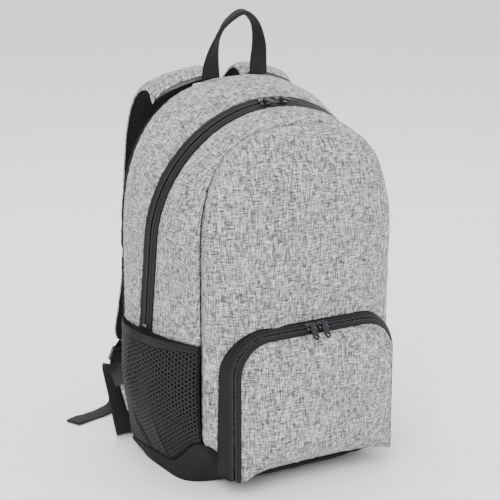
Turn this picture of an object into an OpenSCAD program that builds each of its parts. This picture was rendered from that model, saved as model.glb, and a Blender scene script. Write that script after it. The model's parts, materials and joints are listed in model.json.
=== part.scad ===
// Travel backpack with a USB charging port, built as sewn panels, zips, straps and hardware.
// Millimetres. +Z up, the front faces -Y, the wearer's back is towards +Y, origin on the floor.

/* [Body] */
// Half width of the back seam at the hips
back_hw = 147; // [125:1:165]
// Height of the back seam's crown above the floor
back_top = 449; // [410:1:490]
// Depth position of the back seam
back_y = 80; // [70:1:90]
// Half width of the front panel's seam
front_hw = 127; // [110:1:135]
// Height of the front panel's seam crown
front_top = 417; // [380:1:450]
// Depth position of the front seam
front_y = -70; // [-80:1:-60]
// How far the front panel bulges past its seam
front_bulge = 40; // [30:1:46]
// How far the back padding bulges past its seam
back_bulge = 24; // [14:1:30]
// Thickness of the padded cloth panels
cloth_t = 2.4; // [1.6:0.1:3.2]

/* [Base] */
// Footprint width
foot_w = 272; // [240:1:290]
// Footprint depth
foot_d = 140; // [120:1:146]
// Height of the base band at the middle of each side
base_h = 16; // [10:1:22]
// Height that the base reaches at the front corners
scoop_h = 54; // [40:1:70]
// Thickness of the base plate
base_t = 3; // [2:0.5:5]

/* [Main zip] */
// Radius of the zip's arch
zip_r = 150; // [130:1:165]
// Width of the zip band
zip_w = 19; // [16:1:24]
// Lean of the arch's plane towards the front, in degrees
zip_lean = 8.5; // [4:0.5:12]
// Height of the arch's centre
zip_z = 287; // [260:1:310]
// Slope of the band's face, in degrees
zip_slope = 20; // [10:1:25]
// Length of the main pull tabs
pull_len = 25; // [18:1:27]

/* [Front pocket] */
// Half width of the pocket's zip line
pocket_hw = 109; // [90:1:112]
// Height of the pocket's zip line
pocket_top = 188; // [160:1:210]
// Radius of the zip line's corners
pocket_r = 44; // [34:1:55]
// Depth position of the zip line
pocket_y = -117; // [-122:1:-114]
// Width of the pocket's zip band
pocket_w = 17; // [14:1:20]
// Farthest forward point of the pocket's face
pocket_front = -143; // [-150:1:-136]

/* [Side pockets] */
// Height of the mesh pockets' mouths
mesh_top = 172; // [150:1:190]
// Farthest reach of the mesh pockets from the middle
mesh_reach = 171; // [162:1:180]
// Height of the elastic binding
binding_h = 9; // [6:1:14]

/* [Shoulder straps] */
// Width of a shoulder strap at its top
strap_w = 84; // [64:1:88]
// Width of a shoulder strap at its lower end
strap_end_w = 57; // [44:1:66]
// Thickness of the strap's foam
foam_t = 7; // [5:0.5:9]
// Width of the webbing
web_w = 25; // [20:1:30]
// Thickness of the webbing
web_t = 1.6; // [1.2:0.1:2.2]

/* [Grab handle] */
// Height of the grab handle above the body's crown
handle_h = 81; // [60:1:95]
// Distance between the middles of the handle's legs
handle_span = 66; // [50:1:80]

/* [Charging port] */
// Width of the charging port's base
port_w = 26; // [22:1:30]
// Height of the charging port's base
port_h = 44; // [36:1:50]
// Height of the charging port's middle above the floor
port_z = 240; // [215:1:260]

/* [Inside] */
// Width of the laptop sleeve
sleeve_w = 250; // [210:1:260]
// Height of the laptop sleeve's mouth above the floor
sleeve_top = 300; // [250:1:330]

/* [Hidden] */

sew = 0.3;                       // gap that stands for a sewn seam between two panels
clear = 0.3;                     // clearance of pieces that slide past each other
fit = 0.06;                      // radial running clearance of a pull tab on its rod
leg = 0.16;                      // share of a seam's run that is its straight foot on each side
belt_z = 265;                    // height of the widest line of the body
back_n = 2.5;                    // squareness of the back seam's arch
front_n = 2.8;                   // squareness of the front seam's arch
gusset_steps = 44;               // spans along a gusset
black = [0.055, 0.055, 0.06];
heather = [0.60, 0.60, 0.59];
gunmetal = [0.22, 0.22, 0.23];
$fn = 48;

// ---------- helpers ----------
function mix(a, b, t) = a + (b - a) * t;
function unit(v) = v / norm(v);
function keep(v, lo, hi) = min(max(v, lo), hi);
function spow(c, e) = sign(c) * pow(abs(c), e);
function smooth(t) = let(c = keep(t, 0, 1)) c * c * (3 - 2 * c);
function span(a, b, n) = [for (i = [0:n]) mix(a, b, i / n)];

// Inward direction at a point of the body: towards a box that lies deep inside it
function core(p) = [keep(p[0], -60, 60), keep(p[1], -34, 34), keep(p[2], 90, 300)];
function inward(p) = unit(core(p) - p);
function sunk(g, t) = [for (r = g) [for (p = r) p + t * inward(p)]];
function moved(g, v) = [for (r = g) [for (p = r) p + v]];

// Points of a smooth curve through hand-placed points, n steps in each span
function curve_at(p, i, t) =
    let(m = len(p) - 1, a = p[max(i - 1, 0)], b = p[i], c = p[min(i + 1, m)], d = p[min(i + 2, m)])
    0.5 * (2 * b + t * (c - a) + t * t * (2 * a - 5 * b + 4 * c - d) + t * t * t * (3 * b - a - 3 * c + d));
function curve(p, n) =
    concat([for (i = [0:len(p) - 2]) for (k = [0:n - 1]) curve_at(p, i, k / n)], [p[len(p) - 1]]);

function pair(a, b, c, d) = [[a, b, c], [a, c, d]];
// The same faces, turned over where a surface's rows run the other way round
function facing(faces, over) = over ? [for (f = faces) [f[2], f[1], f[0]]] : faces;

// Closed solid between two grids of points that have the same rows and columns
module slab(a, b, over = false) {
    m = len(a);
    n = len(a[0]);
    k = m * n;
    rim = concat([for (j = [0:n - 1]) j], [for (i = [1:m - 1]) i * n + n - 1],
        [for (j = [n - 2:-1:0]) (m - 1) * n + j], [for (i = [m - 2:-1:1]) i * n]);
    polyhedron(points = concat([for (r = a) each r], [for (r = b) each r]), faces = facing(concat(
        [for (i = [0:m - 2]) for (j = [0:n - 2]) let(q = i * n + j) each pair(q, q + n, q + n + 1, q + 1)],
        [for (i = [0:m - 2]) for (j = [0:n - 2]) let(q = i * n + j + k) each pair(q, q + 1, q + n + 1, q + n)],
        [for (i = [0:len(rim) - 1]) let(u = rim[i], v = rim[(i + 1) % len(rim)]) each pair(u, v, v + k, u + k)]), over),
        convexity = 6);
}

// Closed solid between two dished faces, each a middle point and rings of points around it
module dish(ca, a, cb, b, over = false) {
    m = len(a);
    n = len(a[0]);
    k = m * n + 1;
    last = (m - 1) * n + 1;
    polyhedron(points = concat([ca], [for (r = a) each r], [cb], [for (r = b) each r]), faces = facing(concat(
        [for (j = [0:n - 1]) [0, 1 + (j + 1) % n, 1 + j]],
        [for (j = [0:n - 1]) [k, k + 1 + j, k + 1 + (j + 1) % n]],
        [for (i = [0:m - 2]) for (j = [0:n - 1]) let(p = 1 + i * n + j, q = 1 + i * n + (j + 1) % n)
            each pair(p, q, q + n, p + n)],
        [for (i = [0:m - 2]) for (j = [0:n - 1]) let(p = k + 1 + i * n + j, q = k + 1 + i * n + (j + 1) % n)
            each pair(p, p + n, q + n, q)],
        [for (j = [0:n - 1]) let(p = last + j, q = last + (j + 1) % n) each pair(p, q, q + k, p + k)]), over),
        convexity = 6);
}

// Closed band between two stacks of rings, each stack running round the body
module band(a, b, over = false) {
    m = len(a);
    n = len(a[0]);
    k = m * n;
    polyhedron(points = concat([for (r = a) each r], [for (r = b) each r]), faces = facing(concat(
        [for (i = [0:m - 2]) for (j = [0:n - 1]) let(p = i * n + j, q = i * n + (j + 1) % n)
            each pair(p, q, q + n, p + n)],
        [for (i = [0:m - 2]) for (j = [0:n - 1]) let(p = i * n + j + k, q = i * n + (j + 1) % n + k)
            each pair(p, p + n, q + n, q)],
        [for (j = [0:n - 1]) let(p = j, q = (j + 1) % n) each pair(p, p + k, q + k, q)],
        [for (j = [0:n - 1]) let(p = k - n + j, q = k - n + (j + 1) % n) each pair(p, q, q + k, p + k)]), over),
        convexity = 6);
}

// Solid swept through a list of loops, closed at both ends
module loft(loops) {
    m = len(loops);
    n = len(loops[0]);
    polyhedron(points = [for (l = loops) each l], faces = concat(
        [[for (j = [0:n - 1]) j]],
        [[for (j = [n - 1:-1:0]) (m - 1) * n + j]],
        [for (i = [0:m - 2]) for (j = [0:n - 1]) let(p = i * n + j, q = i * n + (j + 1) % n)
            each pair(p, p + n, q + n, q)]), convexity = 6);
}

// Loops of a flat strip along a path: side gives its width direction, lo and hi its faces
function tangent(path, i) = unit(path[min(i + 1, len(path) - 1)] - path[max(i - 1, 0)]);
function strip(path, side, wide, lo, hi) = [for (i = [0:len(path) - 1])
    let(t = tangent(path, i), s = unit(side[i] - (side[i] * t) * t), n = cross(t, s), w = wide[i] / 2)
    [path[i] - w * s + lo * n, path[i] + w * s + lo * n, path[i] + w * s + hi * n, path[i] - w * s + hi * n]];

module both(right) {
    if (right) children();
    else mirror([1, 0, 0]) children();
}

// ---------- the body's seams ----------
// s runs from the left foot (0) over the crown to the right foot (1)
function turn(s) = 180 - 180 * keep((s - leg) / (1 - 2 * leg), 0, 1);
function foot(s) = s < leg ? 1 - s / leg : s > 1 - leg ? 1 - (1 - s) / leg : 0;
function arch(s, hw, rise, n) = let(a = turn(s), f = foot(s))
    [hw * spow(cos(a), 2 / n), belt_z + rise * spow(sin(a), 2 / n) - f * (belt_z - mesh_top)];
function back_seam(s) = let(p = arch(s, back_hw, back_top - belt_z, back_n)) [p[0], back_y, p[1]];
function front_seam(s) = let(p = arch(s, front_hw, front_top - belt_z, front_n)) [p[0], front_y, p[1]];

zip_mid_y = 2.2;
zip_axis = [0, cos(zip_lean), sin(zip_lean)];
zip_up = [0, -sin(zip_lean), cos(zip_lean)];
zip_mid = [0, zip_mid_y, zip_z];
zip_foot = (zip_z - mesh_top) / cos(zip_lean);
// A point of the zip band, w across it, n out from its face
function zip_line(s, w, n = 0) = let(a = turn(s), r = zip_r + w * sin(zip_slope) + n * cos(zip_slope))
    zip_mid + (w * cos(zip_slope) - n * sin(zip_slope)) * zip_axis + r * cos(a) * [1, 0, 0]
    + (r * sin(a) - foot(s) * zip_foot) * zip_up;

gusset_out = 3;
function swell(s, v, side, crown) = let(a = turn(s))
    4 * v * (1 - v) * mix(side, crown, sin(a) * sin(a)) * [cos(a), 0, sin(a)];
function rear_at(s, v) = mix(back_seam(s), zip_line(s, zip_w / 2), v) + swell(s, v, gusset_out, 12);
function front_at(s, v) = mix(zip_line(s, -zip_w / 2), front_seam(s), v) + swell(s, v, gusset_out, 5);
rear_in = sew / 75;
front_in = sew / 50;
rear_grid = [for (s = span(0, 1, gusset_steps)) [for (v = span(rear_in, 1 - rear_in, 7)) rear_at(s, v)]];
front_grid = [for (s = span(0, 1, gusset_steps)) [for (v = span(front_in, 1 - front_in, 5)) front_at(s, v)]];

// ---------- front panel ----------
function front_depth(z) = front_bulge * mix(0.68, 1, smooth((z - 10) / 230));
function front_norm(x, z) = let(h = max(0, (z - belt_z) / (front_top - belt_z)))
    pow(pow(abs(x) / front_hw, front_n) + pow(h, front_n), 1 / front_n);
function front_face(x, z) = front_y - front_depth(z) * pow(1 - pow(min(front_norm(x, z), 1), 4), 0.42);
function scoop(x) = mix(base_h, scoop_h, smooth((abs(x) - 84) / (front_hw - 84)));
// Outline of the front panel as a closed loop: over the crown, then back along the base
edge_in = 0.998;
function front_loop() = concat(
    [for (s = span(0, 1, 36)) let(p = front_seam(s)) [p[0] * edge_in, (p[2] - belt_z) * edge_in + belt_z]],
    [for (x = span(front_hw * edge_in, -front_hw * edge_in, 20)) [x, scoop(x) + 2 * sew]]);
rings = [0.22, 0.42, 0.6, 0.75, 0.86, 0.94, 0.985, 1];
front_rings = [for (r = rings) [for (p = front_loop())
    let(x = p[0] * r, z = belt_z + (p[1] - belt_z) * r) [x, front_face(x, z), z]]];
front_mid = [0, front_face(0, belt_z), belt_z];

// ---------- base and sides ----------
foot_mid_y = 8;
foot_n = 5;
low_hw = 140;                    // half width of the body just above the base
side_bow = 2;                    // how far the low sides swell
function side_edge(v) = [front_hw + (low_hw - front_hw) * pow(sin(90 * v), 0.8), mix(front_y, back_y, v),
    mix(scoop_h, base_h, smooth(v / 0.4))];
front_side = [for (v = span(1, 0, 5)) front_at(0, v)];
rear_side = [for (v = span(1, 0, 7)) rear_at(0, v)];
// The left side's top edge, from the front seam to the back seam
side_top = [for (p = concat(front_side, [zip_line(0, 0)], rear_side))
    [-p[0], keep(p[1], front_y, back_y), p[2] - sew]];
function side_at(i, v) = let(p = side_top[i], u = (p[1] - front_y) / (back_y - front_y), q = side_edge(u))
    mix(p, [q[0], q[1], q[2] + 4 * sew], v) + [side_bow * sin(180 * v), 0, 0];
side_last = len(side_top) - 1;
side_grid = [for (v = span(0, 1, 8)) [for (i = [0:side_last]) side_at(i, v)]];

// Half width of the back seam below the mesh pockets' mouths
function low_seam(z) = let(v = keep((mesh_top - z) / (mesh_top - base_h), 0, 1))
    mix(back_hw, low_hw, v) + side_bow * sin(180 * v);

// A point of the base plate's outline on the ray through another point
function foot_at(p, out, z) = let(a = atan2(p[1] - foot_mid_y, p[0]), w = foot_w / 2 + out, d = foot_d / 2 + out,
    r = pow(pow(abs(cos(a)) / w, foot_n) + pow(abs(sin(a)) / d, foot_n), -1 / foot_n))
    [r * cos(a), foot_mid_y + r * sin(a), z];
// The base band's upper edge, once round
base_edge = concat(
    [for (x = span(-front_hw, front_hw, 20)) [x, front_face(x, scoop(x)), scoop(x)]],
    [for (v = span(0.08, 1, 12)) side_edge(v)],
    [for (x = span(low_hw - 12, 12 - low_hw, 10)) [x, back_y, base_h]],
    [for (v = span(1, 0.08, 12)) let(p = side_edge(v)) [-p[0], p[1], p[2]]]);
skirt_t = 2;
foot_gap = 1;
skirt_rows = [for (v = span(0, 1, 4)) [for (p = base_edge) let(q = foot_at(p, foot_gap + skirt_t, 0.5), b = sin(90 * v))
    [mix(q[0], p[0], b), mix(q[1], p[1], b), mix(q[2], p[2], v)]]];
function skirt_in(p) = p + skirt_t * unit([-p[0], (foot_mid_y - p[1]) * 1.4, 0]);

module side_panel(right) {
    color(black) both(right) slab(side_grid, sunk(side_grid, cloth_t), true);
}
module base_plate() {
    color(black) linear_extrude(base_t)
        polygon([for (i = [0:71]) let(a = 5 * i, p = foot_at([cos(a), foot_mid_y + sin(a)], 0, 0)) [p[0], p[1]]]);
}
module base_skirt() {
    color(black) band(skirt_rows, [for (r = skirt_rows) [for (p = r) skirt_in(p)]], true);
}
board_t = 3;
board_w = 240;
board_d = 108;
module base_board() {
    color([0.16, 0.16, 0.17]) translate([-board_w / 2, foot_mid_y - board_d / 2, base_t + sew])
        cube([board_w, board_d, board_t]);
}
module rear_gusset() {
    color(heather) difference() {
        slab(rear_grid, sunk(rear_grid, cloth_t));
        translate([port_x - 12, port_y, port_z]) rotate([0, 90, 0]) cylinder(r = barrel_r + clear, h = 24);
    }
}
module front_gusset() {
    color(heather) slab(front_grid, sunk(front_grid, cloth_t));
}
module front_panel() {
    inner = sunk(front_rings, cloth_t);
    color(heather) dish(front_mid, front_rings, front_mid + cloth_t * inward(front_mid), inner, true);
}

// ---------- back ----------
back_gap = back_y + sew;
cover_t = 1.5;
function back_loop() = concat(
    [for (s = span(0, 1, 36)) let(p = back_seam(s)) [p[0], p[2]]],
    [for (z = [130, 90, 50]) [low_seam(z), z]],
    [for (x = span(low_hw - 3, 3 - low_hw, 12)) [x, base_h + sew]],
    [for (z = [50, 90, 130]) [-low_seam(z), z]]);
back_rings_r = [0.25, 0.45, 0.62, 0.76, 0.87, 0.94, 0.98, 1];
function back_rise(r) = back_bulge * sqrt(1 - pow(min(r, 1), 4));
function back_ring(r, y) = [for (p = back_loop()) [p[0] * r, y, belt_z + (p[1] - belt_z) * r]];
module back_cover() {
    color(black) dish([0, back_gap + cover_t + back_bulge, belt_z],
        [for (r = back_rings_r) back_ring(r, back_gap + cover_t + back_rise(r))],
        [0, back_gap + back_bulge, belt_z], [for (r = back_rings_r) back_ring(r, back_gap + back_rise(r))]);
}
foam_share = 0.94;
foam_deep = 8;                   // thickness of the back's foam
lining_t = 1;
foam_rings = [for (r = back_rings_r) if (r <= foam_share) r];
// How far the lining stands off the back seam's plane, behind the foam
function lining_rise(r) = max(0, back_rise(r) - foam_deep - lining_t - 2 * sew);
module back_foam() {
    outer_y = back_gap - sew;
    color([0.3, 0.3, 0.3]) dish([0, outer_y + back_bulge, belt_z],
        [for (r = foam_rings) back_ring(r, outer_y + back_rise(r))],
        [0, outer_y + back_bulge - foam_deep, belt_z],
        [for (r = foam_rings) back_ring(r, outer_y + back_rise(r) - foam_deep)]);
}
module back_lining() {
    steps = concat(foam_rings, [0.975]);
    color([0.1, 0.1, 0.1]) dish([0, back_gap + lining_t + lining_rise(0), belt_z],
        [for (r = steps) back_ring(r, back_gap + lining_t + lining_rise(r))],
        [0, back_gap + lining_rise(0), belt_z], [for (r = steps) back_ring(r, back_gap + lining_rise(r))]);
}

// ---------- main zip ----------
tape_t = 0.8;
coil_in = 0.8;                   // half the slit between the two coils, where a slider's post runs
coil_w = 2.4;
coil_h = 2.2;
// Puts the arch's middle at the origin, its axis along z and its feet towards +y
module zip_frame() {
    multmatrix([[1, 0, 0, 0], [0, sin(zip_lean), cos(zip_lean), zip_mid[1]],
        [0, -cos(zip_lean), sin(zip_lean), zip_mid[2]], [0, 0, 0, 1]]) children();
}
// Carries a 2D profile, x out from the band's face and y across it, along the whole arch
module zip_sweep() {
    zip_frame() {
        rotate_extrude(angle = 180, start = 180, $fn = 120) translate([zip_r, 0]) rotate(-zip_slope) children();
        for (side = [0, 1]) mirror([side, 0, 0]) translate([0, zip_foot - sew, 0]) rotate([90, 0, 0])
            linear_extrude(zip_foot - sew) translate([zip_r, 0]) rotate(-zip_slope) children();
    }
}
// Places a slider: turn degrees right of the crown, x out, y along the zip, z rearwards
module zip_at(turned) {
    zip_frame() rotate([0, 0, 270 + turned]) children();
}
module tape_profile(side, w) {
    lo = coil_in + coil_w;
    translate([-tape_t / 2, side > 0 ? lo : -w / 2 + sew]) square([tape_t, w / 2 - lo - sew]);
}
module coil_profile(side) {
    translate([-coil_h / 2, side > 0 ? coil_in : -coil_in - coil_w]) square([coil_h, coil_w]);
}
module zip_tape(side) {
    color(black) zip_sweep() tape_profile(side, zip_w);
}
module zip_coil(side) {
    color(black) zip_sweep() coil_profile(side);
}
// A staple across both coils at each foot of the arch
module zip_stops() {
    color(gunmetal) for (side = [-1, 1]) zip_frame() translate([side * zip_r, zip_foot - 6, 0])
        rotate([0, 0, side > 0 ? 0 : 180]) rotate([0, zip_slope, 0]) translate([coil_h / 2 + 0.7, 0, 0])
        cube([1.2, 4, 2 * (coil_in + coil_w)], center = true);
}

// ---------- sliders and pull tabs ----------
plate_t = 1.4;
plate_gap = coil_h / 2 + clear + 0.1;   // from the zip's middle to the inside of a slider's plate
plate_w = 10.4;
slider_len = 12;
rod_r = 0.8;
rod_out = plate_gap + plate_t + 2.3;    // from the zip's middle to the bridge rod
bridge_len = 9;
module plate_profile() {
    lip_t = 1;
    for (n = [0, 1]) mirror([n, 0]) {
        translate([plate_gap, -plate_w / 2]) square([plate_t, plate_w]);
        for (w = [0, 1]) mirror([0, w]) translate([tape_t / 2 + clear, plate_w / 2 - lip_t])
            square([plate_gap - tape_t / 2 - clear + 0.2, lip_t]);
    }
}
module post_profile() {
    square([2 * plate_gap + 0.4, 2 * (coil_in - clear)], center = true);
}
// Two uprights and the rod that a pull tab turns on, along y
module bridge() {
    for (y = [-1, 1]) translate([plate_gap + plate_t - 0.2, y * bridge_len / 2 - 0.9, -1.3])
        cube([rod_out - plate_gap - plate_t + 1.2, 1.8, 2.6]);
    translate([rod_out, 0, 0]) rotate([90, 0, 0]) cylinder(r = rod_r, h = bridge_len, center = true);
}
// A pull tab that lies towards -z from its eye at the origin; x is out
module pull_tab(length, width, thick) {
    eye_r = rod_r + fit + 0.9;
    difference() {
        union() {
            rotate([90, 0, 0]) cylinder(r = eye_r, h = 5, center = true);
            translate([-thick / 2, -2, -eye_r - 3]) cube([thick, 4, 4]);
            translate([-thick / 2, -width / 2, -length + width / 2]) cube([thick, width, length - width / 2 - 4]);
            translate([0, 0, -length + width / 2]) rotate([0, 90, 0]) cylinder(r = width / 2, h = thick, center = true);
        }
        rotate([90, 0, 0]) cylinder(r = rod_r + fit, h = 20, center = true);
        translate([0, 0, -length + width / 2]) rotate([0, 90, 0]) cylinder(r = width / 2 - 1.6, h = 20, center = true);
    }
}
main_turn = 4.2;                 // each slider's place off the crown, in degrees
tab_rise = 8;                    // how far a main pull tab stands off the cloth, in degrees
main_tab_w = 6.5;
pocket_tab_w = 7;
pocket_tab_len = 19;
tab_t = 1.8;
module main_slider(side) {
    half = slider_len / 2 / zip_r * 180 / PI;
    color(gunmetal) zip_at(side * main_turn) {
        rotate_extrude(angle = 2 * half, start = -half, $fn = 240) translate([zip_r, 0]) rotate(-zip_slope)
            plate_profile();
        rotate([0, 0, -side * (half - 1)]) rotate_extrude(angle = 0.8, start = -0.4, $fn = 240)
            translate([zip_r, 0]) rotate(-zip_slope) post_profile();
        translate([zip_r, 0, 0]) rotate([0, zip_slope, 0]) bridge();
    }
}
main_rod = [rod_out * cos(zip_slope), -rod_out * sin(zip_slope)];
module main_puller(side) {
    color(black) zip_at(side * main_turn) translate([zip_r + main_rod[0], 0, main_rod[1]]) rotate([0, -tab_rise, 0])
        pull_tab(pull_len, main_tab_w, tab_t);
}

// ---------- front pocket ----------
pocket_slope = 33;
pocket_foot = 20;
pocket_straight = pocket_hw - pocket_r;
// The pocket's arch, out by g from its zip line, as [x, z] from the left foot to the right
function pocket_arch(g, n) = concat([[-pocket_hw - g, pocket_foot]],
    [for (a = span(180, 90, n)) [-pocket_straight + (pocket_r + g) * cos(a), pocket_top - pocket_r + (pocket_r + g) * sin(a)]],
    [for (x = span(-0.6, 0.6, 4)) [x * pocket_straight, pocket_top + g]],
    [for (a = span(90, 0, n)) [pocket_straight + (pocket_r + g) * cos(a), pocket_top - pocket_r + (pocket_r + g) * sin(a)]],
    [[pocket_hw + g, pocket_foot]]);
module pocket_sweep() {
    upright = pocket_top - pocket_r - pocket_foot;
    for (side = [0, 1]) mirror([side, 0, 0]) {
        translate([pocket_straight, pocket_y, pocket_top - pocket_r]) rotate([90, 0, 0])
            rotate_extrude(angle = 90, $fn = 96) translate([pocket_r, 0]) rotate(pocket_slope) children();
        translate([pocket_straight, pocket_y, pocket_foot]) mirror([0, 1, 0]) linear_extrude(upright)
            translate([pocket_r, 0]) rotate(pocket_slope) children();
    }
    translate([-pocket_straight, pocket_y, pocket_top - pocket_r]) rotate([90, 0, 90])
        linear_extrude(2 * pocket_straight) rotate(90) translate([pocket_r, 0]) rotate(pocket_slope) children();
}
module pocket_tape(side) {
    color(black) pocket_sweep() tape_profile(side, pocket_w);
}
module pocket_coil(side) {
    color(black) pocket_sweep() coil_profile(side);
}
band_out = pocket_w / 2 * sin(pocket_slope);
band_deep = pocket_w / 2 * cos(pocket_slope);
hem = 0.6;                       // gap between the front panel and what is sewn onto it
lip_t = 1.2;
// Black strip between the rear tape and the front panel
module pocket_gusset() {
    tilt = 1.5;
    function line(g) = pocket_arch(band_out + g, 8);
    function rows(g) = let(near = line(g), far = line(g + tilt)) [for (i = [0:len(near) - 1])
        [for (v = span(0, 1, 3)) let(x = mix(near[i][0], far[i][0], v), z = mix(near[i][1], far[i][1], v))
            [x, mix(pocket_y + band_deep + sew, front_face(far[i][0], far[i][1]) - hem, v), z]]];
    color(black) slab(rows(0), rows(-lip_t), true);
}
pocket_mid = [0, pocket_front, 98];
pocket_face_y = pocket_y - band_deep - sew;
pocket_edge = concat([for (p = pocket_arch(-band_out, 8)) [p[0], pocket_face_y, p[1]]],
    [for (t = span(0.97, -0.97, 14)) let(x = t * (pocket_hw - band_out), dip = 1 - pow(abs(t), 4))
        [x, mix(pocket_face_y, front_face(x, pocket_foot) - hem, dip), pocket_foot - 1.2 * dip]]);
pocket_rings_r = [0.25, 0.45, 0.62, 0.76, 0.87, 0.94, 0.98, 1];
// A ring of the pocket's face: r is its share of the way to the edge, t its depth under the cloth
function pocket_ring(r, t) = [for (p = pocket_edge)
    let(x = p[0] * r, z = mix(pocket_mid[2], p[2], r), in = unit([-x * r, 8 + 60 * (1 - pow(r, 4)), (pocket_mid[2] - z) * r]))
    [x, mix(pocket_front, p[1], pow(r, 5)), z] + t * in];
module pocket_panel() {
    color(heather) dish(pocket_mid, [for (r = pocket_rings_r) pocket_ring(r, 0)],
        pocket_mid + [0, cloth_t, 0], [for (r = pocket_rings_r) pocket_ring(r, cloth_t)], true);
}
pocket_gap = 8;                  // distance of a pocket slider's middle from the pocket's middle
// Places a pocket slider: x out from the band, y along it to the right, z across it rearwards
module pocket_at(side) {
    up = cos(pocket_slope);
    lean = sin(pocket_slope);
    multmatrix([[0, 1, 0, side * pocket_gap], [-lean, 0, up, pocket_y], [up, 0, lean, pocket_top], [0, 0, 0, 1]])
        children();
}
module pocket_slider(side) {
    color(gunmetal) pocket_at(side) {
        rotate([90, 0, 0]) linear_extrude(slider_len, center = true) plate_profile();
        translate([0, -side * (slider_len / 2 - 1), 0]) rotate([90, 0, 0]) linear_extrude(1.4, center = true)
            post_profile();
        bridge();
    }
}
pocket_tab_drop = 12;            // how far a pocket pull tab hangs below its band's slope, in degrees
module pocket_puller(side) {
    color(black) pocket_at(side) translate([rod_out, 0, 0]) rotate([0, pocket_tab_drop, 0])
        pull_tab(pocket_tab_len, pocket_tab_w, tab_t);
}

// ---------- mesh pockets ----------
mesh_t = 0.8;
mesh_out = 0.7;
function mesh_at(i, v) = let(p = side_at(i, v), u = keep((p[1] - front_y) / (back_y - front_y), 0, 1))
    p + [mesh_out + (mesh_reach - back_hw - 2) * pow(max(sin(180 * u), 0), 0.7) * sin(180 * mix(0.14, 0.97, v)), 0, 0];
mesh_cols = [0:side_last];
bind_t = 0.8;
bind_v = binding_h / (mesh_top - base_h);
function mesh_grid(v0, v1, n, t) = [for (v = span(v0, v1, n)) [for (i = mesh_cols) mesh_at(i, v) + [t, 0, 0]]];
module mesh_pocket(right) {
    from = bind_v + 0.004;
    color([0.12, 0.12, 0.13]) both(right) slab(mesh_grid(from, 0.985, 10, mesh_t), mesh_grid(from, 0.985, 10, 0), true);
}
module mesh_binding(right) {
    color(black) both(right) slab(mesh_grid(0, bind_v, 2, mesh_t + bind_t), mesh_grid(0, bind_v, 2, 0), true);
}

// ---------- corner tabs and webbing ----------
tab_low = 49;
tab_high = 103;
tab_peak = 84;
tab_reach = 20;
module corner_tab(right) {
    rows = [for (z = concat(span(tab_low, tab_peak, 3), [tab_high]))
        let(r = 1 + tab_reach * (z > tab_peak ? 0 : (z - tab_low) / (tab_peak - tab_low)))
        [for (v = [0, 0.5, 1]) [low_seam(z) + 0.4, back_y + sew + v * r, z]]];
    color(heather) both(right) slab(rows, moved(rows, [1.4, 0, 0]), true);
}
// Route of the lower webbing: from the corner tab over the floor, through the ladder lock, and its loose tail
web_route = [[149.6, 92, 80], [150.5, 103, 99], [149, 115, 97], [142, 117, 62], [136, 116, 26], [129, 121, 5],
    [118, 142, 3], [105, 166, 6], [95, 188, 26], [87, 207, 52], [83.5, 216, 69], [83, 216.2, 76.5], [83, 219, 80.4],
    [83, 223.2, 79], [83, 230, 70], [84, 230.5, 52], [88, 225, 26], [98, 215, 7], [122, 205, 2.6], [148, 198, 2], [170, 190, 2]];
web_sides = [[0, 1, -0.6], [0.3, 1, 0.2], [1, 0.3, 0], [1, 0, 0], [1, 0, 0], [1, 0, 0], [1, 0, 0], [1, 0, 0],
    [1, 0, 0], [1, 0, 0], [1, 0, 0], [1, 0, 0], [1, 0, 0], [1, 0, 0], [1, 0, 0], [1, 0, 0], [1, 0.15, 0],
    [0.9, 0.9, 0], [0.2, 1, 0], [0, 1, 0], [0, 1, 0]];
module lower_webbing(right) {
    path = curve(web_route, 4);
    color(black) both(right) loft(strip(path, curve(web_sides, 4), [for (p = path) web_w - 1], -web_t / 2, web_t / 2));
}

// ---------- shoulder straps ----------
strap_route = [[60, 82.4, 448.2], [60, 93, 453.2], [60, 110, 454], [59.5, 133, 442], [59, 155, 418], [58.5, 173, 386],
    [58, 186, 346], [58, 195, 302], [59, 200, 240], [62, 203.5, 184], [70, 203.5, 136], [77, 202, 108], [80.5, 201, 95]];
strap_path = curve(strap_route, 3);
strap_last = len(strap_path) - 1;
// The straps droop across their width at the top, as the body's shoulders do
strap_droop = 0.3;
strap_sides = [for (i = [0:strap_last]) [1, 0, -strap_droop * smooth(1.2 - 3.2 * i / strap_last)]];
function strap_wide(i) = let(t = i / strap_last, e = (strap_last - i) / 5)
    mix(strap_w, strap_end_w, smooth(t * 1.05)) * (e < 1 ? mix(0.45, 1, sqrt(1 - (1 - e) * (1 - e))) : 1);
strap_widths = [for (i = [0:strap_last]) strap_wide(i)];
skin_t = 1.2;
strap_crown = 5;                 // how much lower a strap's edges lie than its middle
function strap_face(off) = [for (i = [0:strap_last])
    let(t = tangent(strap_path, i), s = unit(strap_sides[i] - (strap_sides[i] * t) * t), n = cross(t, s))
    [for (c = span(-1, 1, 4)) strap_path[i] + strap_widths[i] / 2 * c * s + (off + strap_crown * c * c) * n]];
module strap_layer(right, lo, hi) {
    both(right) slab(strap_face(lo), strap_face(hi));
}
module strap_cover(right) {
    color(heather) strap_layer(right, -foam_t / 2 - sew - skin_t, -foam_t / 2 - sew);
}
module strap_foam(right) {
    color([0.3, 0.3, 0.3]) strap_layer(right, -foam_t / 2, foam_t / 2);
}
module strap_lining(right) {
    color(black) strap_layer(right, foam_t / 2 + sew, foam_t / 2 + sew + skin_t);
}

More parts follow.
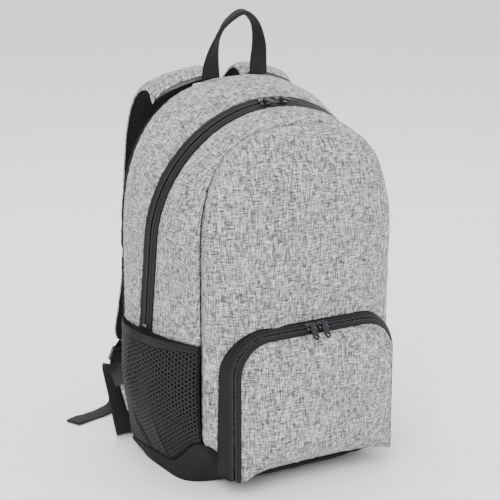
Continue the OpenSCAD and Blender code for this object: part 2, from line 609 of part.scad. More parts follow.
// ---------- ladder locks ----------
lock_x = 83;
lock_y = 213;
lock_z = 85;
lock_tilt = 35;
bar_r = 1.6;
rail_w = 3;
lock_w = web_w + 2 * rail_w + 2;
bar_pitch = 11;
module ladder_lock(right) {
    color(black) both(right) translate([lock_x, lock_y, lock_z]) rotate([lock_tilt, 0, 0]) {
        for (side = [-1, 1]) translate([side * (lock_w - rail_w) / 2, 0, -bar_pitch]) rotate([0, 90, 0])
            linear_extrude(rail_w, center = true) union() {
                translate([-bar_pitch, -2.4]) square([2 * bar_pitch, 4.8]);
                translate([-bar_pitch, 0]) circle(r = 2.4);
                translate([bar_pitch, 0]) circle(r = 2.4);
            }
        for (k = [0:2]) translate([0, 0, -k * bar_pitch]) rotate([0, 90, 0])
            cylinder(r = bar_r, h = lock_w - rail_w, center = true);
    }
}
// Patch of webbing sewn to a strap's outer face, with the loop that holds the ladder lock
patch_from = strap_last - 5;
module strap_webbing(right) {
    out = foam_t / 2 + sew + skin_t + 2 * sew + web_t / 2;
    face = [for (i = [patch_from:strap_last - 1]) let(t = tangent(strap_path, i))
        strap_path[i] - out * cross(t, unit([1, 0, 0] - t[0] * t))];
    loop_r = bar_r + 0.5 + web_t / 2;
    turnback = [for (a = [30:-40:-210])
        [lock_x, lock_y + loop_r * cos(a), lock_z + loop_r * sin(a)]];
    path = concat(face, turnback);
    color(black) both(right) loft(strip(path, [for (p = path) [1, 0, 0]], [for (p = path) web_w - 1], -web_t / 2, web_t / 2));
}

// ---------- grab handle ----------
handle_y = 66;
handle_lean = 19;
handle_seat = 453.9;
module grab_handle() {
    half = handle_span / 2;
    // Up one leg, over the folded grip and down the other
    route = [[-half, 0, 0], [-half * 0.99, -1, 18], [-half * 0.92, -6, 40], [-half * 0.68, -12, 62], [-half * 0.3, -17, 75],
        [0, -handle_lean, 79], [half * 0.3, -17, 75], [half * 0.68, -12, 62], [half * 0.92, -6, 40], [half * 0.99, -1, 18], [half, 0, 0]];
    path = [for (p = curve([for (r = route) [r[0], r[1], r[2] * handle_h / 81]], 3)) p + [0, handle_y, handle_seat]];
    n = len(path) - 1;
    sides = [for (i = [0:n]) let(k = smooth(1 - abs(2 * i / n - 1)), s = i < n / 2 ? 1 : -1) [s * (1 - k), k, 0.15 * k]];
    wide = [for (i = [0:n]) mix(web_w, web_w / 2 + 1, smooth(1.6 * (1 - abs(2 * i / n - 1))))];
    thick = [for (i = [0:n]) mix(web_t, 2 * web_t + 1.6, smooth(1.6 * (1 - abs(2 * i / n - 1))))];
    color(black) loft([for (i = [0:n]) let(t = tangent(path, i), s = unit(sides[i] - (sides[i] * t) * t), m = cross(t, s),
        w = wide[i] / 2, h = thick[i] / 2)
        [path[i] - w * s - h * m, path[i] + w * s - h * m, path[i] + w * s + h * m, path[i] - w * s + h * m]]);
}

// ---------- charging port ----------
port_y = 57;
barrel_r = 9;
port_plate_t = 3.4;
// How far out the gusset reaches at a depth y and a height z
function wall_x(y, z) = let(s = leg * (z - mesh_top) / (belt_z - mesh_top), far = zip_line(s, zip_w / 2)[1])
    -rear_at(s, (back_y - y) / (back_y - far))[0];
port_x = max([for (y = [-1:1]) for (z = [-1:1]) wall_x(port_y + y * port_w / 2, port_z + z * port_h / 2)]) + sew;
barrel_len = 13;
socket_w = 13.2;
socket_h = 5.8;
module port_outline(grow) {
    w = port_w / 2 + grow;
    h = port_h / 2 + grow;
    corner = 5;
    hull() {
        for (y = [-1, 1]) translate([h - corner, y * (w - corner)]) circle(r = corner);
        for (y = [-1, 1]) translate([-h + corner + 3, y * (w - corner - 3)]) circle(r = corner + 3);
    }
}
module usb_port_base() {
    color(black) translate([port_x, port_y, port_z]) rotate([0, 90, 0]) difference() {
        union() {
            linear_extrude(port_plate_t) port_outline(0);
            translate([0, 0, -barrel_len]) cylinder(r = barrel_r, h = barrel_len + 0.5);
        }
        translate([-socket_h / 2 - 0.3, -socket_w / 2 - 0.3, -barrel_len - 1]) cube([socket_h + 0.6, socket_w + 0.6, barrel_len + 10]);
    }
}
module usb_port_nut() {
    nut_t = 2.5;
    nut_gap = 4.8;               // the wall's slope leaves this much behind the nut's rim
    color([0.12, 0.12, 0.12]) translate([port_x - cloth_t - nut_gap - nut_t, port_y, port_z]) rotate([0, 90, 0]) difference() {
        cylinder(r = 13, h = nut_t);
        translate([0, 0, -1]) cylinder(r = barrel_r + fit, h = nut_t + 2);
    }
}
module usb_socket() {
    shell_t = 0.5;
    deep = 12;
    color([0.75, 0.75, 0.77]) translate([port_x + port_plate_t - 0.4, port_y, port_z]) rotate([0, 90, 0]) {
        difference() {
            translate([-socket_h / 2, -socket_w / 2, -deep]) cube([socket_h, socket_w, deep]);
            translate([-socket_h / 2 + shell_t, -socket_w / 2 + shell_t, -deep + 1])
                cube([socket_h - 2 * shell_t, socket_w - 2 * shell_t, deep]);
        }
        translate([0.4, -socket_w / 2 + 1.2, -deep + 0.5]) cube([1.6, socket_w - 2.4, deep - 2]);
    }
}
cover_deep = 4.8;
module usb_port_cover() {
    color([0.35, 0.35, 0.36]) translate([port_x + port_plate_t + clear, port_y, port_z]) rotate([0, 90, 0]) difference() {
        hull() {
            linear_extrude(cover_deep * 0.6) port_outline(-3.5);
            linear_extrude(cover_deep) port_outline(-5.5);
        }
        translate([-socket_h / 2 - 1.5, -socket_w / 2 - 1.5, -1]) cube([socket_h + 3, socket_w + 3, 3]);
    }
}

// ---------- inside ----------
sleeve_t = 5;
laptop_gap = 24;
sleeve_foot = 17;
module laptop_sleeve() {
    side_t = 2;
    back = back_y - sew;
    front = back - laptop_gap - sleeve_t;
    color([0.25, 0.25, 0.26]) translate([-sleeve_w / 2, front, sleeve_foot]) difference() {
        cube([sleeve_w, back - front, sleeve_top - sleeve_foot]);
        translate([side_t, sleeve_t, side_t]) cube([sleeve_w - 2 * side_t, back - front, sleeve_top]);
    }
}
closure_z = sleeve_top + 12;
closure_w = 38;
module sleeve_closure() {
    back = back_y - sew;
    front = back - laptop_gap - sleeve_t - 2 * sew;
    color(black) translate([-closure_w / 2, 0, 0]) {
        translate([0, front - 1.6, closure_z]) cube([closure_w, back - front + 1.6, 1.6]);
        translate([0, front - 1.6, sleeve_top - 36]) cube([closure_w, 1.6, closure_z - sleeve_top + 36]);
    }
}
module power_bank_pocket() {
    wall = 1.4;
    size = [20, 54, 88];
    color([0.13, 0.13, 0.14]) translate([121, -4.5, 118]) difference() {
        cube(size);
        translate([wall, wall, wall]) cube([size[0] - 2 * wall, size[1] - 2 * wall, size[2]]);
    }
}

back_cover();
back_foam();
back_lining();
rear_gusset();
front_gusset();
front_panel();
side_panel(false);  // side_panel_left
side_panel(true);  // side_panel_right
base_plate();
base_skirt();
base_board();
zip_tape(1);  // zip_tape_rear
zip_tape(-1);  // zip_tape_front
zip_coil(1);  // zip_coil_rear
zip_coil(-1);  // zip_coil_front
zip_stops();
main_slider(-1);  // main_slider_left
main_slider(1);  // main_slider_right
main_puller(-1);  // main_puller_left
main_puller(1);  // main_puller_right
pocket_panel();
pocket_gusset();
pocket_tape(-1);  // pocket_tape_rear
pocket_tape(1);  // pocket_tape_front
pocket_coil(-1);  // pocket_coil_rear
pocket_coil(1);  // pocket_coil_front
pocket_slider(-1);  // pocket_slider_left
pocket_slider(1);  // pocket_slider_right
pocket_puller(-1);  // pocket_puller_left
pocket_puller(1);  // pocket_puller_right
mesh_pocket(false);  // mesh_pocket_left
mesh_pocket(true);  // mesh_pocket_right
mesh_binding(false);  // mesh_binding_left
mesh_binding(true);  // mesh_binding_right
grab_handle();
strap_cover(false);  // strap_cover_left
strap_cover(true);  // strap_cover_right
strap_foam(false);  // strap_foam_left
strap_foam(true);  // strap_foam_right
strap_lining(false);  // strap_lining_left
strap_lining(true);  // strap_lining_right
strap_webbing(false);  // strap_webbing_left
strap_webbing(true);  // strap_webbing_right
ladder_lock(false);  // ladder_lock_left
ladder_lock(true);  // ladder_lock_right
lower_webbing(false);  // lower_webbing_left
lower_webbing(true);  // lower_webbing_right
corner_tab(false);  // corner_tab_left
corner_tab(true);  // corner_tab_right
usb_port_base();
usb_port_nut();
usb_socket();
usb_port_cover();
power_bank_pocket();
laptop_sleeve();
sleeve_closure();
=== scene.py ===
import bpy
import json
import math
import numpy as np
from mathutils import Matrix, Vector

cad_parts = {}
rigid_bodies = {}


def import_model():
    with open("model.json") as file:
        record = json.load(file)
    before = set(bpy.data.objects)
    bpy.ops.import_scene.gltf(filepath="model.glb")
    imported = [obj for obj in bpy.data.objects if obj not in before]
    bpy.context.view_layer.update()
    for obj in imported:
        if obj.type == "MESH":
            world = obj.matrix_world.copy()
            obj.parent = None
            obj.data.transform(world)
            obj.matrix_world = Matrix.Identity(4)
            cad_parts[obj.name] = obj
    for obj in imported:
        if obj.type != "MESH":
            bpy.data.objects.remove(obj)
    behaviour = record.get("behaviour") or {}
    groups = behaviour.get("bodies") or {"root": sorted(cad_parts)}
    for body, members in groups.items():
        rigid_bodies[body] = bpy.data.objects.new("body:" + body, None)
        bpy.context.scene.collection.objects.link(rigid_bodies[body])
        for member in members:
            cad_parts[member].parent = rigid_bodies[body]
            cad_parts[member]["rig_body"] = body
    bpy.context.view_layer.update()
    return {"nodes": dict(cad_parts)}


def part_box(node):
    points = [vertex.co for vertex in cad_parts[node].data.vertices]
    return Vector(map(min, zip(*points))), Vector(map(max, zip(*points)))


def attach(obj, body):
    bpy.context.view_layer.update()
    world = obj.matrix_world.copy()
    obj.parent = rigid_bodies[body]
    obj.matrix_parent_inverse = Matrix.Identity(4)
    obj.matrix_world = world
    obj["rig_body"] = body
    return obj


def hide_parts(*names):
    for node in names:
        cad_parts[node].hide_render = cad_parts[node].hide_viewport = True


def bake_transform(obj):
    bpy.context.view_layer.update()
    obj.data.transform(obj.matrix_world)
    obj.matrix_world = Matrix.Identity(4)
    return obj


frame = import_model()
bpy.ops.object.select_all(action="DESELECT")
print("frame loaded:", len(frame["nodes"]), "nodes")

# camera, floor and light
shot = {"azimuth": -31.0, "elevation": 15.0, "distance": 1.9, "frameHigh": 0.605,
    "aim": (-0.006, 0.02, 0.249), "sensor": 36, "floorSize": 14, "floorTone": 0.93, "floorRough": 0.75,
    "sky": (0.97, 0.98, 1, 1), "skyPower": 1.4}
# soft boxes (place, size, power): key from the left front, fill from the right, one behind and above
softBoxes = {"key": ((-1.5, -1.7, 1.9), 1.5, 62), "fill": ((1.9, -1.2, 1.2), 1.8, 22),
    "top": ((0.2, 0.9, 2.4), 1.6, 36), "aim": (0, 0, 0.2)}


def placeAimed(name, data, place, way):
    item = bpy.data.objects.new(name, data)
    bpy.context.scene.collection.objects.link(item)
    item.location = place
    item.rotation_mode = "QUATERNION"
    item.rotation_quaternion = way.to_track_quat("-Z", "Y")
    return item


def makeStage():
    a, e = math.radians(shot["azimuth"]), math.radians(shot["elevation"])
    back = Vector((math.sin(a) * math.cos(e), -math.cos(a) * math.cos(e), math.sin(e)))
    camData = bpy.data.cameras.new("camera")
    camData.lens = shot["sensor"] * shot["distance"] / shot["frameHigh"]
    bpy.context.scene.camera = placeAimed("camera", camData, Vector(shot["aim"]) + back * shot["distance"],
        -back)
    bpy.ops.mesh.primitive_plane_add(size=shot["floorSize"], location=(0, 0, 0))
    floor = bpy.context.object
    floor.name = "floor"
    paper = bpy.data.materials.new("studioPaper")
    paper.use_nodes = True
    shader = paper.node_tree.nodes["Principled BSDF"]
    shader.inputs["Base Color"].default_value = (shot["floorTone"],) * 3 + (1,)
    shader.inputs["Roughness"].default_value = shot["floorRough"]
    floor.data.materials.append(paper)
    world = bpy.data.worlds.new("studio")
    world.use_nodes = True
    world.node_tree.nodes["Background"].inputs[0].default_value = shot["sky"]
    world.node_tree.nodes["Background"].inputs[1].default_value = shot["skyPower"]
    bpy.context.scene.world = world
    for name in ("key", "fill", "top"):
        place, size, power = softBoxes[name]
        data = bpy.data.lights.new(name, "AREA")
        data.size, data.energy = size, power
        placeAimed(name, data, place, Vector(softBoxes["aim"]) - Vector(place))
    print("stage set")


makeStage()


# shader values: a Shade is one output of a node, and adds and multiplies as a number does
class Shade:
    def __init__(self, tree, socket):
        self.tree, self.socket = tree, socket

    def __add__(self, other):
        return maths("ADD", self, other)

    def __sub__(self, other):
        return maths("SUBTRACT", self, other)

    def __rsub__(self, other):
        return maths("SUBTRACT", other, self)

    def __mul__(self, other):
        return maths("MULTIPLY", self, other)

    def __truediv__(self, other):
        return maths("DIVIDE", self, other)

    def __rtruediv__(self, other):
        return maths("DIVIDE", other, self)


# sets a socket to a number or a colour, or links a Shade to it
def feed(socket, value):
    if isinstance(value, Shade):
        value.tree.links.new(value.socket, socket)
    else:
        socket.default_value = (*value, 1) if socket.type == "RGBA" else value


# a new node beside another Shade, fed by input names or numbers; gives one of its outputs
def nodeOf(near, kind, values, output=0, **settings):
    node = near.tree.nodes.new("ShaderNode" + kind)
    for key, value in settings.items():
        setattr(node, key, value)
    for label, value in values.items():
        feed(node.inputs[label], value)
    return Shade(near.tree, node.outputs[output])


def maths(kind, *given, clamp=False):
    near = next(value for value in given if isinstance(value, Shade))
    return nodeOf(near, "Math", dict(enumerate(given)), operation=kind, use_clamp=clamp)


def splitXY(vector):
    return [nodeOf(vector, "SeparateXYZ", {0: vector}, output) for output in (0, 1)]


def joinXYZ(x, y, z=0.0):
    return nodeOf(x, "CombineXYZ", {0: x, 1: y, 2: z})


def noiseOf(vector, scale, detail=2.0, rough=0.5):
    values = {"Vector": vector, "Scale": scale, "Detail": detail, "Roughness": rough}
    return nodeOf(vector, "TexNoise", values, "Fac")


def rampOf(value, stops):
    node = value.tree.nodes.new("ShaderNodeValToRGB")
    ramp = node.color_ramp
    while len(ramp.elements) < len(stops):
        ramp.elements.new(0.5)
    for element, (place, colour) in zip(ramp.elements, stops):
        element.position = place
        element.color = (*colour, 1)
    feed(node.inputs[0], value)
    return Shade(value.tree, node.outputs[0])


def mixColour(factor, first, second):
    return nodeOf(factor, "Mix", {0: factor, 6: first, 7: second}, 2, data_type="RGBA")


# a group takes a vector and numbers with their defaults, and gives numbers
def makeGroup(name, numbers, outputs):
    group = bpy.data.node_groups.new(name, "ShaderNodeTree")
    group.interface.new_socket(name="Vector", in_out="INPUT", socket_type="NodeSocketVector")
    for label, value in numbers.items():
        socket = group.interface.new_socket(name=label, in_out="INPUT", socket_type="NodeSocketFloat")
        socket.default_value = value
    for label in outputs:
        group.interface.new_socket(name=label, in_out="OUTPUT", socket_type="NodeSocketFloat")
    source, sink = group.nodes.new("NodeGroupInput"), group.nodes.new("NodeGroupOutput")
    return group, [Shade(group, source.outputs[label]) for label in ("Vector", *numbers)], sink.inputs


def useGroup(group, vector, **numbers):
    first = nodeOf(vector, "Group", {"Vector": vector, **numbers}, node_tree=group)
    return {socket.name: Shade(vector.tree, socket) for socket in first.socket.node.outputs}


# plain weave of single threads: each thread's tone varies along its own length
def weaveGroup():
    group, (place, pitch, run), out = makeGroup("plainWeave", {"Pitch": 0.0006, "Run": 0.012},
        ("Tone", "Height"))
    x, y = splitXY(place)
    u, v = x / pitch, y / pitch
    cellU, cellV = maths("FLOOR", u), maths("FLOOR", v)
    over = maths("FLOORED_MODULO", cellU + cellV, 2.0)
    under = 1.0 - over
    warp = noiseOf(joinXYZ(cellU * 1.73, y / run, 3.1), 1.0, 1.0)
    weft = noiseOf(joinXYZ(x / run, cellV * 1.73, 7.7), 1.0, 1.0)
    feed(out["Tone"], warp * under + weft * over)
    roundU, roundV = (maths("SINE", maths("FRACT", c) * math.pi) for c in (u, v))
    feed(out["Height"], roundU * (under * 0.65 + 0.35) + roundV * (over * 0.65 + 0.35))
    return group


# two-tone cloth: single threads, thicker slubs both ways and cloudy patches
def heatherGroup():
    group, (place, pitch, threads, slubs, patches), out = makeGroup("heatherTone",
        {"Pitch": 0.0007, "Threads": 0.7, "Slubs": 0.6, "Patches": 0.35}, ("Tone", "Height"))
    u, v = splitXY(place)
    fine = useGroup(plainWeave, place, Pitch=pitch)
    up = noiseOf(joinXYZ(u * 760.0, v * 110.0, 1.3), 1.0, 2.0, 0.6)
    across = noiseOf(joinXYZ(u * 120.0, v * 760.0, 5.9), 1.0, 2.0, 0.6)
    cloud = noiseOf(place, 260.0, 3.0, 0.6)
    tone = (fine["Tone"] - 0.5) * threads + 0.5
    feed(out["Tone"], tone + (up - 0.5) * slubs + (across - 0.5) * slubs + (cloud - 0.5) * patches)
    feed(out["Height"], fine["Height"] + maths("MAXIMUM", up, across) * 1.6)
    return group


# narrow webbing: ribs across, a herringbone along, u runs over its width
def webbingGroup():
    group, (place, rib), out = makeGroup("webbingRibs", {"Rib": 0.0013}, ("Tone", "Height"))
    u, v = splitXY(place)
    zigzag = maths("PINGPONG", u, 0.003)
    ribs = maths("SINE", (v + zigzag) / rib * (2 * math.pi))
    cords = maths("SINE", u * (2 * math.pi / 0.0015))
    height = ribs * 0.5 + cords * 0.35
    feed(out["Height"], height)
    # tone follows the ribs' height: painted shade in the grooves between ribs and cords, with random fuzz on
    # top
    feed(out["Tone"], height * 0.25 + noiseOf(joinXYZ(u * 500.0, v * 60.0), 1.0))
    return group


# a knitted net's round holes on a triangular lattice: Hole is 1 inside a hole
def netGroup():
    group, (place, pitch, size), out = makeGroup("netHoles", {"Pitch": 0.0034, "Size": 0.3},
        ("Hole", "Height"))
    x, y = splitXY(place)
    wave = 2 * math.pi / (pitch * 0.866)
    turns = [math.radians(turn) for turn in (0, 60, 120)]
    rays = [maths("COSINE", (x * math.cos(a) + y * math.sin(a)) * wave) for a in turns]
    total = rays[0] + rays[1] + rays[2]
    feed(out["Hole"], maths("MULTIPLY", total - size, 3.0, clamp=True))
    feed(out["Height"], total * -0.5)
    return group


# dust, rubbing and handling marks: Mask is 1 where the finish is duller or paler
def wearGroup():
    group, (place, size, amount), out = makeGroup("handlingMarks", {"Size": 22.0, "Amount": 0.3}, ("Mask",))
    feed(out["Mask"], maths("MULTIPLY", noiseOf(place, size, 5.0) - 0.42, 4.0, clamp=True) * amount)
    return group


plainWeave = weaveGroup()
heatherTone = heatherGroup()
webbingRibs = webbingGroup()
netHoles = netGroup()
handlingMarks = wearGroup()


# materials: each maker returns one, and reads the cloth's own UV map or Object coordinates
def startMaterial(name, rough, sheen=0.0, specular=0.5, metallic=0.0):
    mat = bpy.data.materials.new(name)
    mat.use_nodes = True
    tree = mat.node_tree
    shader = tree.nodes["Principled BSDF"].inputs
    values = {"Roughness": rough, "Metallic": metallic, "Specular IOR Level": specular}
    if sheen:
        values.update({"Sheen Weight": sheen, "Sheen Roughness": 0.5})
    for label, value in values.items():
        shader[label].default_value = value
    return mat, shader, Shade(tree, tree.nodes.new("ShaderNodeTexCoord").outputs["Object"])


def clothUv(place):
    return nodeOf(place, "UVMap", {}, uv_map="cloth")


def marksOf(place, size, amount):
    return useGroup(handlingMarks, place, Size=size, Amount=amount)["Mask"]


def dress(shader, colour, height, strength, distance):
    feed(shader["Base Color"], colour)
    feed(shader["Normal"],
        nodeOf(height, "Bump", {"Strength": strength, "Distance": distance, "Height": height}))


def heatherMaterial(name):
    mat, shader, place = startMaterial(name, 0.88, sheen=0.12, specular=0.2)
    cloth = useGroup(heatherTone, clothUv(place), Pitch=0.00075, Threads=0.95, Slubs=1.0, Patches=0.55)
    colour = rampOf(cloth["Tone"], [(0.22, (0.04, 0.041, 0.041)), (0.4, (0.14, 0.141, 0.139)),
        (0.56, (0.32, 0.321, 0.315)), (0.76, (0.68, 0.68, 0.665))])
    dress(shader, mixColour(marksOf(place, 14.0, 0.07), colour, (0.22, 0.215, 0.2)), cloth["Height"], 0.55,
        0.0005)
    return mat


def blackClothMaterial(name, pitch=0.0007, dark=0.0025, light=0.008, rough=0.8, depth=0.5):
    mat, shader, place = startMaterial(name, rough, sheen=0.015, specular=0.22)
    cloth = useGroup(plainWeave, clothUv(place), Pitch=pitch, Run=0.02)
    marks = marksOf(place, 18.0, 0.22)
    # the weave's height is added to its tone: painted shade between the threads, and the raised threads
    # painted lighter
    tone = cloth["Tone"] * 0.55 + cloth["Height"] * 0.25
    colour = rampOf(tone, [(0.25, (dark,) * 3), (0.85, (light, light, light * 1.05))])
    dress(shader, mixColour(marks, colour, (0.012, 0.0117, 0.0113)), cloth["Height"], depth, 0.0004)
    feed(shader["Roughness"], marks * 0.5 + (rough - 0.06))
    return mat


def spacerMaterial(name):
    mat, shader, place = startMaterial(name, 0.9, sheen=0.04, specular=0.12)
    uv = clothUv(place)
    holes = useGroup(netHoles, uv, Pitch=0.0026, Size=1.2)
    threads = useGroup(plainWeave, uv, Pitch=0.0005, Run=0.006)
    # the holes are coloured near black: painted shade inside the mesh's holes
    colour = mixColour(holes["Hole"], (0.013, 0.013, 0.0135), (0.0025, 0.0025, 0.0025))
    height = holes["Height"] + threads["Height"] * 0.25
    dress(shader, mixColour(marksOf(place, 16.0, 0.25), colour, (0.022, 0.022, 0.0215)), height, 0.55, 0.0007)
    return mat


def netMaterial(name):
    mat, shader, place = startMaterial(name, 0.68, sheen=0.02, specular=0.22)
    uv = clothUv(place)
    net = useGroup(netHoles, uv, Pitch=0.0054, Size=0.1)
    threads = useGroup(plainWeave, uv, Pitch=0.0004, Run=0.004)
    colour = rampOf(threads["Tone"], [(0.3, (0.008, 0.008, 0.0083)), (0.7, (0.018, 0.018, 0.0187))])
    dress(shader, colour, net["Height"], 0.7, 0.0006)
    feed(shader["Alpha"], 1.0 - net["Hole"])
    return mat


def webbingMaterial(name, rib=0.0013, tone=0.009):
    mat, shader, place = startMaterial(name, 0.66, sheen=0.02, specular=0.25)
    ribs = useGroup(webbingRibs, clothUv(place), Rib=rib)
    colour = rampOf(ribs["Tone"], [(0.2, (tone * 0.3,) * 3), (0.85, (tone * 1.25,) * 3)])
    dress(shader, mixColour(marksOf(place, 30.0, 0.2), colour, (0.014, 0.014, 0.0137)), ribs["Height"], 0.6,
        0.0005)
    return mat


def mouldedMaterial(name, colour, rough=0.5, grain=900.0, depth=0.00012):
    mat, shader, place = startMaterial(name, rough, specular=0.4)
    skin = noiseOf(place, grain, 3.0)
    pale = tuple(min(1.0, c * 1.7 + 0.006) for c in colour)
    dress(shader, mixColour(marksOf(place, 120.0, 0.35), colour, pale), skin, 0.5, depth)
    feed(shader["Roughness"], skin * 0.2 + (rough - 0.08))
    return mat


def metalMaterial(name, colour, rough):
    mat, shader, place = startMaterial(name, rough, metallic=1.0)
    brushed = noiseOf(nodeOf(place, "Mapping", {"Vector": place, "Scale": (1, 1, 9)}), 700.0, 3.0, 0.6)
    bright = tuple(min(1.0, c * 1.9) for c in colour)
    dress(shader, mixColour(marksOf(place, 260.0, 0.6), colour, bright), brushed, 0.25, 0.0001)
    feed(shader["Roughness"], brushed * 0.3 + (rough - 0.1))
    return mat


def foamMaterial(name, colour):
    mat, shader, place = startMaterial(name, 0.95, specular=0.1)
    cells = nodeOf(place, "TexVoronoi", {"Vector": place, "Scale": 900.0}, "Distance")
    shade = rampOf(cells, [(0.0, tuple(c * 1.15 for c in colour)), (0.8, tuple(c * 0.6 for c in colour))])
    dress(shader, shade, cells, 0.6, 0.0006)
    return mat


def threadMaterial(name, colour):
    mat, shader, place = startMaterial(name, 0.7, sheen=0.1, specular=0.3)
    twist = noiseOf(place, 1400.0)
    shade = rampOf(twist, [(0.3, tuple(c * 0.6 for c in colour)),
        (0.7, tuple(min(1, c * 1.3) for c in colour))])
    dress(shader, shade, twist, 0.5, 0.0002)
    return mat


looks = {
    "heather": heatherMaterial("heatherCloth"),
    "black": blackClothMaterial("coatedBlackCloth"),
    "tape": webbingMaterial("zipTape", 0.0009, 0.008),
    "lining": blackClothMaterial("liningCloth", 0.0004, 0.02, 0.04, 0.6, 0.3),
    "spacer": spacerMaterial("airMesh"),
    "net": netMaterial("pocketNet"),
    "webbing": webbingMaterial("strapWebbing"),
    "coil": mouldedMaterial("nylonCoil", (0.02, 0.02, 0.021), 0.36, 1500.0, 0.00005),
    "gunmetal": metalMaterial("gunmetal", (0.11, 0.11, 0.115), 0.34),
    "steel": metalMaterial("stampedSteel", (0.55, 0.55, 0.57), 0.3),
    "pull": mouldedMaterial("rubberPull", (0.006, 0.006, 0.0065), 0.55, 700.0),
    "lock": mouldedMaterial("acetal", (0.006, 0.006, 0.0065), 0.42, 800.0),
    "port": mouldedMaterial("portHousing", (0.009, 0.009, 0.0095), 0.5, 900.0),
    "hood": mouldedMaterial("portHood", (0.05, 0.051, 0.053), 0.42, 700.0),
    "board": mouldedMaterial("stiffener", (0.03, 0.03, 0.031), 0.6, 500.0),
    "foam": foamMaterial("closedCellFoam", (0.18, 0.18, 0.185)),
    "greyThread": threadMaterial("greyThread", (0.2, 0.2, 0.198)),
    "blackThread": threadMaterial("blackThread", (0.012, 0.012, 0.0125)),
}
print("materials made:", len(looks))

# mesh helpers: points are in millimetres here and become metres in the mesh
mm = 0.001
hands = (("Left", np.array([-1, 1, 1])), ("Right", np.array([1, 1, 1])))


# points from separate coordinates, each a number or an array
def xyz(*parts):
    return np.stack(np.broadcast_arrays(*parts), axis=-1)


def mix(a, b, t):
    return a + (b - a) * t


def smooth(t):
    c = np.clip(t, 0, 1)
    return c * c * (3 - 2 * c)


def spow(c, e):
    return np.sign(c) * np.abs(c) ** e


def unit(v):
    return v / np.maximum(np.linalg.norm(v, axis=-1, keepdims=True), 1e-12)


# the part of side that is square to each direction in way
def squareTo(side, way):
    return unit(side - np.einsum("ij,ij->i", np.broadcast_to(side, way.shape), way)[:, None] * way)


def runLength(points, axis=0):
    step = np.linalg.norm(np.diff(points, axis=axis), axis=-1)
    pad = [(0, 0)] * step.ndim
    pad[axis] = (1, 0)
    return np.cumsum(np.pad(step, pad), axis=axis)


def loopRun(ring):
    return runLength(np.concatenate([ring, ring[:1]]))[:-1][None, :]


def addMesh(name, points, faces, uv, look):
    mesh = bpy.data.meshes.new(name)
    mesh.from_pydata((np.asarray(points, float) * mm).tolist(), [], [tuple(f) for f in faces])
    if uv is not None:
        layer = mesh.uv_layers.new(name="cloth")
        index = np.zeros(len(mesh.loops), int)
        mesh.loops.foreach_get("vertex_index", index)
        layer.data.foreach_set("uv", (np.asarray(uv, float)[index] * mm).ravel())
    mesh.validate()
    mesh.update()
    mesh.polygons.foreach_set("use_smooth", [True] * len(mesh.polygons))
    piece = bpy.data.objects.new(name, mesh)
    bpy.context.scene.collection.objects.link(piece)
    mesh.materials.append(looks[look])
    return piece


def pickOnly(piece):
    bpy.ops.object.select_all(action="DESELECT")
    piece.select_set(True)
    bpy.context.view_layer.objects.active = piece


def applyModifier(piece, kind, **settings):
    pickOnly(piece)
    modifier = piece.modifiers.new(kind.lower(), kind)
    for key, value in settings.items():
        setattr(modifier, key, value)
    bpy.ops.object.modifier_apply(modifier=modifier.name)


def thicken(piece, thick, **settings):
    applyModifier(piece, "SOLIDIFY", thickness=thick * mm, offset=-1.0, **settings)


def settle(piece, body, slot, *nodes):
    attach(piece, body)
    if nodes:
        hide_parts(*nodes)


# a finished sheet, attached to its body, with the nodes that it stands for hidden
def settleSheet(piece, slot, nodes, flat, restsOn, held="stretched", body="root", **more):
    settle(piece, body, slot, *nodes)


def gridFaces(rows, cols, wrap=False, start=0):
    spots = [(start + i * cols + j, start + i * cols + (j + 1) % cols)
        for i in range(rows - 1) for j in range(cols if wrap else cols - 1)]
    return [(a, b, b + cols, a + cols) for a, b in spots]


# turns a closed shape's faces outwards
def facingOut(points, faces):
    volume = 0.0
    for f in faces:
        for k in range(1, len(f) - 1):
            volume += float(np.dot(points[f[0]], np.cross(points[f[k]], points[f[k + 1]])))
    return [f[::-1] for f in faces] if volume < 0 else faces


# faces of a closed tube of rings with flat caps
def tubeFaces(points, rows, cols):
    ring = tuple(range(cols))
    caps = [ring[::-1], tuple((rows - 1) * cols + j for j in ring)]
    return facingOut(points, gridFaces(rows, cols, wrap=True) + caps)


# turns a sheet's faces away from a point deep inside
def facingFrom(core, points, faces):
    a, b, c = (points[[f[k] for f in faces]] for k in range(3))
    away = np.einsum("ij,ij->i", np.cross(b - a, c - a), a - np.asarray(core, float)).sum()
    return faces if away > 0 else [f[::-1] for f in faces]


# a sheet of cloth from a grid of points, thick on its inner side; centre closes a ring grid's middle
def clothSheet(name, grid, uv, look, thick=1.2, wrap=False, centre=None, core=(0, 0, 250)):
    rows, cols = grid.shape[:2]
    points, flat = grid.reshape(-1, 3), uv.reshape(-1, 2)
    faces = gridFaces(rows, cols, wrap)
    if centre is not None:
        points, flat = np.vstack([points, centre[0]]), np.vstack([flat, centre[1]])
        faces += [((j + 1) % cols, j, len(points) - 1) for j in range(cols)]
    piece = addMesh(name, points, facingFrom(core, points, faces), flat, look)
    if thick:
        thicken(piece, thick, use_even_offset=False, use_quality_normals=True)
    return piece


def gridNormals(grid, core, wrap=False):
    across = np.roll(grid, -1, axis=1) - np.roll(grid, 1, axis=1) if wrap else np.gradient(grid, axis=1)
    normal = np.cross(np.gradient(grid, axis=0), across)
    normal /= np.maximum(np.linalg.norm(normal, axis=2, keepdims=True), 1e-9)
    away = np.einsum("ijk,ijk->ij", normal, grid - np.asarray(core, float))
    return normal * np.where(away.sum() > 0, 1.0, -1.0)


# a domed sheet's normals, how far in from its edge each point is, and the run along that edge
def domeOf(grid, core):
    return gridNormals(grid, core, wrap=True), runLength(grid[::-1])[::-1], loopRun(grid[-1])


# smooth lumps from a few dozen fixed waves
def lumps(points, size, seed, waves=26):
    rng = np.random.RandomState(seed)
    total = np.zeros(points.shape[:-1])
    for _ in range(waves):
        way = rng.normal(size=3)
        way /= np.linalg.norm(way)
        total += np.sin(points @ way * (2 * math.pi / (size * rng.uniform(0.7, 1.6)))
            + rng.uniform(0, 2 * math.pi))
    return total / math.sqrt(waves / 2)


